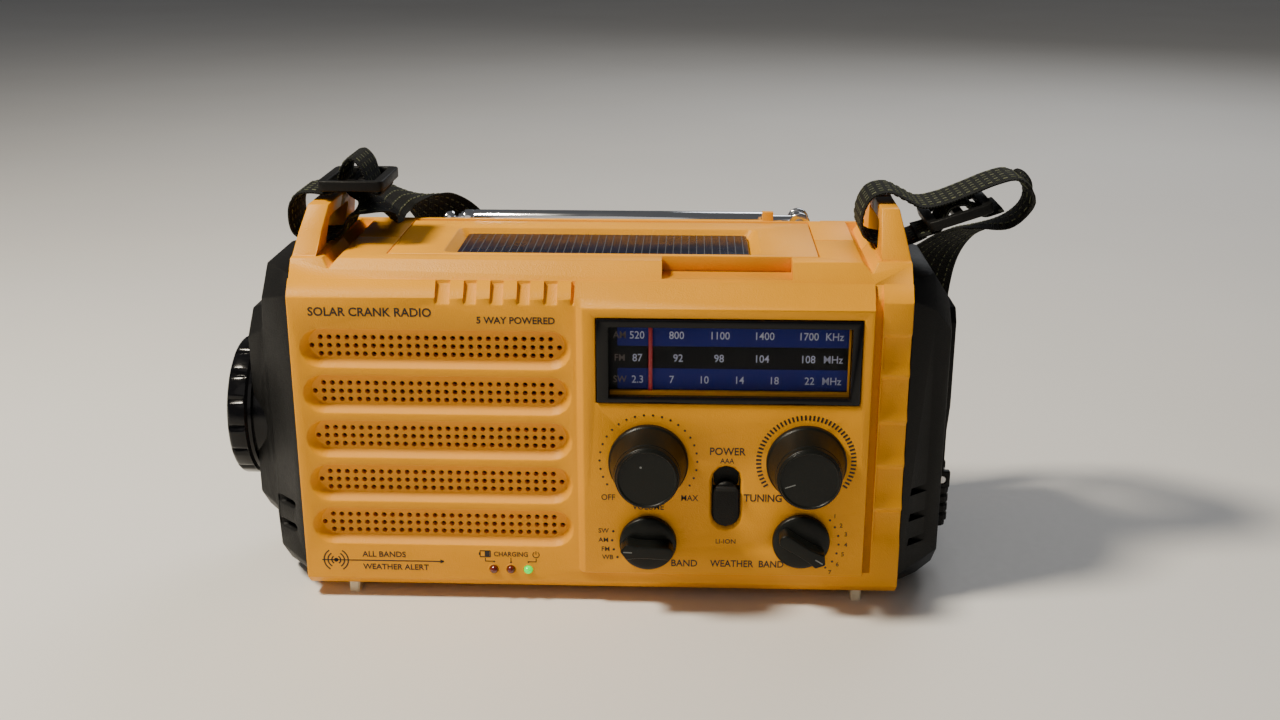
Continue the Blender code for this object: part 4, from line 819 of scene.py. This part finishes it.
# Tail through the right slider: along the slider and out from its middle plane
TAIL = [(-13.5, -2.6), (-10.0, -2.75), (-6.6, -2.5), (-4.4, 0.0), (-2.4, 2.5), (0.0, 3.0), (2.4, 2.5),
        (4.6, 0.0), (6.8, -2.5), (10.0, -2.8), (12.8, -2.7)]
TAIL_CENTRE, TAIL_TILT = (107.5, 118.7), 19.0      # X, Z of the slider's middle, and its slope in degrees

# Dashes on the webbing: rows across, spacing of the rows, pitch and length along, half width, chamfer
DASH_ROWS, ROW_SPACING = 6, 3.0
DASH_PITCH, DASH_LENGTH, DASH_HALF, DASH_CHAMFER = 2.3, 1.35, 0.26, 0.12
BOX_SIDES = ((0, 1, 3, 2), (4, 5, 7, 6), (0, 1, 5, 4), (2, 3, 7, 6), (0, 2, 6, 4), (1, 3, 7, 5))


def strap_stations():
    """Points on the strap's middle line, each with the direction across the band."""
    return ([((x, STRAP_Y, z), (0, 1, 0)) for x, z in STRAP_LEFT] + STRAP_MIDDLE
            + [((x, STRAP_Y, z), (0, -1, 0)) for x, z in STRAP_RIGHT])


def band_frames(stations, steps):
    """Points along the band's middle, each with its across and outward directions and its running length."""
    last = len(stations) - 1
    route = []
    for i in range(last):
        near = [stations[max(0, min(last, i + k))] for k in (-1, 0, 1, 2)]
        for s in range(steps):
            t = s / steps               # Catmull-Rom weights of the four nearest stations
            weights = (-t / 2 + t * t - t ** 3 / 2, 1 - 2.5 * t * t + 1.5 * t ** 3,
                       t / 2 + 2 * t * t - 1.5 * t ** 3, (t ** 3 - t * t) / 2)
            route.append([sum((Vector(a[n]) * w for a, w in zip(near, weights)), Vector()) for n in (0, 1)])
    route.append([Vector(stations[-1][0]), Vector(stations[-1][1])])
    frames = []
    length = 0.0
    for i, (place, across) in enumerate(route):
        ahead = (route[min(i + 1, len(route) - 1)][0] - route[max(i - 1, 0)][0]).normalized()
        side = (across - ahead * across.dot(ahead)).normalized()
        if i:
            length += (place - route[i - 1][0]).length
        frames.append((place, side, ahead.cross(side).normalized(), length))
    return frames


def band_mesh(frames):
    """Band with rounded selvedges along its frames; its UV map holds metres across and along."""
    half = STRAP_WIDTH / 2
    across = [half * math.sin(math.radians(a)) for a in range(-90, 91, 15)]
    outline = [(u, STRAP_THICK / 2 * min(1.0, 0.35 + 2.2 * (1 - abs(u) / half))) for u in across]
    loop = outline + [(u, -h) for u, h in reversed(outline)]
    mesh = bmesh.new()
    uv = mesh.loops.layers.uv.new("band")
    rings = []
    for place, side, up, _ in frames:
        rings.append([mesh.verts.new(at(*(place + side * u + up * h))) for u, h in loop])
    count = len(loop)
    for k in range(len(rings) - 1):
        for i in range(count):
            j = (i + 1) % count
            face = mesh.faces.new((rings[k][i], rings[k][j], rings[k + 1][j], rings[k + 1][i]))
            marks = ((i, k), (j, k), (j, k + 1), (i, k + 1))
            for corner, (n, row) in zip(face.loops, marks):
                corner[uv].uv = (loop[n][0] * MM, frames[row][3] * MM)
    mesh.faces.new(rings[0])
    mesh.faces.new(rings[-1])
    bmesh.ops.recalc_face_normals(mesh, faces=mesh.faces)
    return mesh


def frame_at(frames, distance):
    """Place, across and outward directions at a distance along the band."""
    for a, b in zip(frames, frames[1:]):
        if b[3] >= distance:
            t = (distance - a[3]) / max(1e-6, b[3] - a[3])
            return [a[n].lerp(b[n], t) for n in range(3)]
    return list(frames[-1][:3])


def add_dash(mesh, start, end, u, sign):
    """Adds one raised dash between two frames, at u millimetres across; gives its faces."""
    along = (end[0] - start[0]).normalized()
    corners = []
    for height, inset in ((0.5, 0.0), (0.72, DASH_CHAMFER)):
        for (place, side, up), shift in ((start, inset), (end, -inset)):
            for w in (inset - DASH_HALF, DASH_HALF - inset):
                spot = place + side * (u + w) + up * sign * height + along * shift
                corners.append(mesh.verts.new(at(*spot)))
    return [mesh.faces.new([corners[n] for n in side]) for side in BOX_SIDES]


def dash_mesh(frames):
    """Rows of short raised dashes on both faces of a band."""
    mesh = bmesh.new()
    uv = mesh.loops.layers.uv.new("band")
    for n in range(int(frames[-1][3] / DASH_PITCH) - 1):
        begin = n * DASH_PITCH
        start, end = frame_at(frames, 1.0 + begin), frame_at(frames, 1.0 + begin + DASH_LENGTH)
        for row in range(DASH_ROWS):
            u = ROW_SPACING * (row - (DASH_ROWS - 1) / 2)
            for sign in (1, -1):
                for face in add_dash(mesh, start, end, u, sign):
                    for corner in face.loops:
                        corner[uv].uv = (u * MM, begin * MM)
    bmesh.ops.recalc_face_normals(mesh, faces=mesh.faces)
    return mesh


def build_strap():
    """Woven strap with its pale dashes, and the short tail that is threaded through the right slider."""
    frames = band_frames(strap_stations(), 8)
    strap = settle(show(band_mesh(frames), "strap_webbing", WEBBING, 60), "case", ["strap"])
    rows = settle(show(dash_mesh(frames), "strap_dashes", STITCH, 30), "case")
    cos, sin = math.cos(math.radians(TAIL_TILT)), math.sin(math.radians(TAIL_TILT))
    stations = []
    for u, v in TAIL:
        x, z = TAIL_CENTRE[0] + u * cos - v * sin, TAIL_CENTRE[1] + u * sin + v * cos
        stations.append(((x, STRAP_Y, z), (0, -1, 0)))
    tail = band_frames(stations, 6)
    pieces = [rows, settle(show(band_mesh(tail), "strap_tail", WEBBING, 60), "case"),
              settle(show(dash_mesh(tail), "strap_tail_dashes", STITCH, 30), "case")]


# ---------------------------------------------------------------- back

def rear_pad(outline, low, high, name, material, edge):
    """Thin raised shape on the rear face, from low to high above it."""
    return slab(outline, 1, BACK_Y + low, BACK_Y + high, name, material, edge)


def rear_label(words, x, z, size, name, align="CENTER", body="case"):
    """Lettering that is read from behind."""
    label(words, x, BACK_Y + 0.04, z, size, INK, name, 0.03, align, turn=180, body=body)


def build_back():
    """Screws, buttons with their collars, the port flap's pad, moulded ribs and plain signs."""
    for node in ("case_screw_1", "case_screw_2", "case_screw_3", "case_screw_4"):
        refined(node, 0.2)
    refined("light_button", 0.3)
    refined("sos_button", 0.3)
    rise = ((5.45, 0), (5.5, 0.5), (5.8, 0.75), (6.5, 0.7), (6.9, 0.3), (7.0, 0))
    for node, words in (("light_button", "LIGHT"), ("sos_button", "SOS")):
        low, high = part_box(node)
        x, z = ((low.x + high.x) / 2 - DATUM.x) / MM, (low.z + high.z) / 2 / MM
        profile = [(radius, BACK_Y + height) for radius, height in rise]
        settle(lathe(profile, (x, z), 1, node + "_collar", YELLOW, 48, 30, True), "case")
        rear_label(words, x + 8.6, z, 2.0, "label_" + words.lower(), "RIGHT")
    flap = BODY_OF["port_cover"]
    pad = rounded(-81.5, -60.5, 28.5, 39.5, 1.5)
    settle(rear_pad(pad, 0, 0.4, "port_pad", RUBBER, 0.15), flap)
    for i in range(3):
        x = -64.5 + 1.4 * i
        rib = rounded(x, x + 0.7, 30.0, 38.0, 0.3, 2)
        settle(rear_pad(rib, 0.4, 0.75, f"port_rib_{i}", RUBBER, 0.1), flap)
    for i in range(7):
        z = 30.0 + 6.5 * i
        rib = rounded(67.5, 84.5, z, z + 2.0, 0.9, 3)
        settle(rear_pad(rib, -0.05, 0.6, f"rear_rib_{i}", YELLOW, 0.25), "case")
    rear_label("USB IN", -71.0, 45.6, 2.0, "label_usb")
    door = BODY_OF["battery_door"]
    rear_label("BATTERIES 3 x AAA", 30.0, 30.5, 2.2, "label_batteries", body=door)
    rear_label("OPEN", 30.0, 58.4, 2.0, "label_open", body=door)
    arrow = [((30.0, 60.6), (30.0, 63.4), 0.5), ((28.6, 62.2), (30.0, 63.6), 0.5),
             ((31.4, 62.2), (30.0, 63.6), 0.5)]
    settle(ticks(arrow, BACK_Y, "door_arrow", INK), door)


# ---------------------------------------------------------------- stage, light and camera

FLOOR_TONES = ((0.74, 0.72, 0.69), (0.78, 0.765, 0.735))
FLOOR_HALF = 7.0                        # metres from the middle of the floor to its edge
# Round lamps: name, place and aim in metres, diameter, power in watts, colour
LAMPS = (("key", (-0.46, -0.20, 0.80), (0, 0, 0.09), 0.18, 12.5, (1.0, 0.91, 0.75)),
         ("fill", (-0.35, -1.45, 0.95), (0, 0, 0.05), 1.2, 1.9, (1.0, 0.93, 0.85)),
         ("back", (0.45, 0.95, 0.95), (0, 0, 0.08), 0.8, 6.0, (0.95, 0.97, 1.0)))
SKY_TONE, SKY_STRENGTH = (0.86, 0.88, 0.92, 1), 0.11
EYE_PLACE, EYE_DROP, EYE_TURN = (0.01883, -0.43955, 0.21104), 18.26, 2.13     # metres, degrees
EYE_LENS = 39.91                        # millimetres, on a sensor 36 mm wide


def build_floor():
    """Pale floor with a faint cloud of tone."""
    g = Graph("pale_floor")
    cloud = g.noise(3, 3)
    grain = g.noise(400, 2)
    g.colour(g.mix(g.spread(cloud, 0.3, 0.7, 0, 1), *FLOOR_TONES))
    g.roughness(g.spread(grain, 0.3, 0.7, 0.6, 0.75))
    g.relief(grain, 0.00003)
    mesh = bmesh.new()
    bmesh.ops.create_grid(mesh, x_segments=4, y_segments=4, size=FLOOR_HALF)
    floor = show(mesh, "floor", g.material, 0)


def build_lights():
    """Dim even sky and three soft lamps."""
    world = bpy.data.worlds.new("studio")
    world.use_nodes = True
    sky = world.node_tree.nodes["Background"]
    sky.inputs["Color"].default_value = SKY_TONE
    sky.inputs["Strength"].default_value = SKY_STRENGTH
    bpy.context.scene.world = world
    for name, place, aim, size, power, tint in LAMPS:
        lamp = bpy.data.lights.new(name, "AREA")
        lamp.shape = "DISK"
        lamp.size = size
        lamp.energy = power
        lamp.color = tint
        obj = bpy.data.objects.new(name, lamp)
        bpy.context.scene.collection.objects.link(obj)
        obj.location = place
        obj.rotation_euler = (Vector(aim) - Vector(place)).to_track_quat("-Z", "Y").to_euler()


def build_camera():
    """Camera in front of the radio, a little to its right and above it."""
    camera = bpy.data.cameras.new("camera")
    camera.lens = EYE_LENS
    camera.sensor_width = 36.0
    camera.clip_start = 0.01
    eye = bpy.data.objects.new("camera", camera)
    bpy.context.scene.collection.objects.link(eye)
    eye.location = EYE_PLACE
    eye.rotation_euler = (math.radians(90 - EYE_DROP), 0, math.radians(EYE_TURN))
    bpy.context.scene.camera = eye


build_case()
build_dial()
build_controls()
build_labels()
build_solar()
build_antenna()
build_light()
build_strap()
build_back()
build_floor()
build_lights()
build_camera()
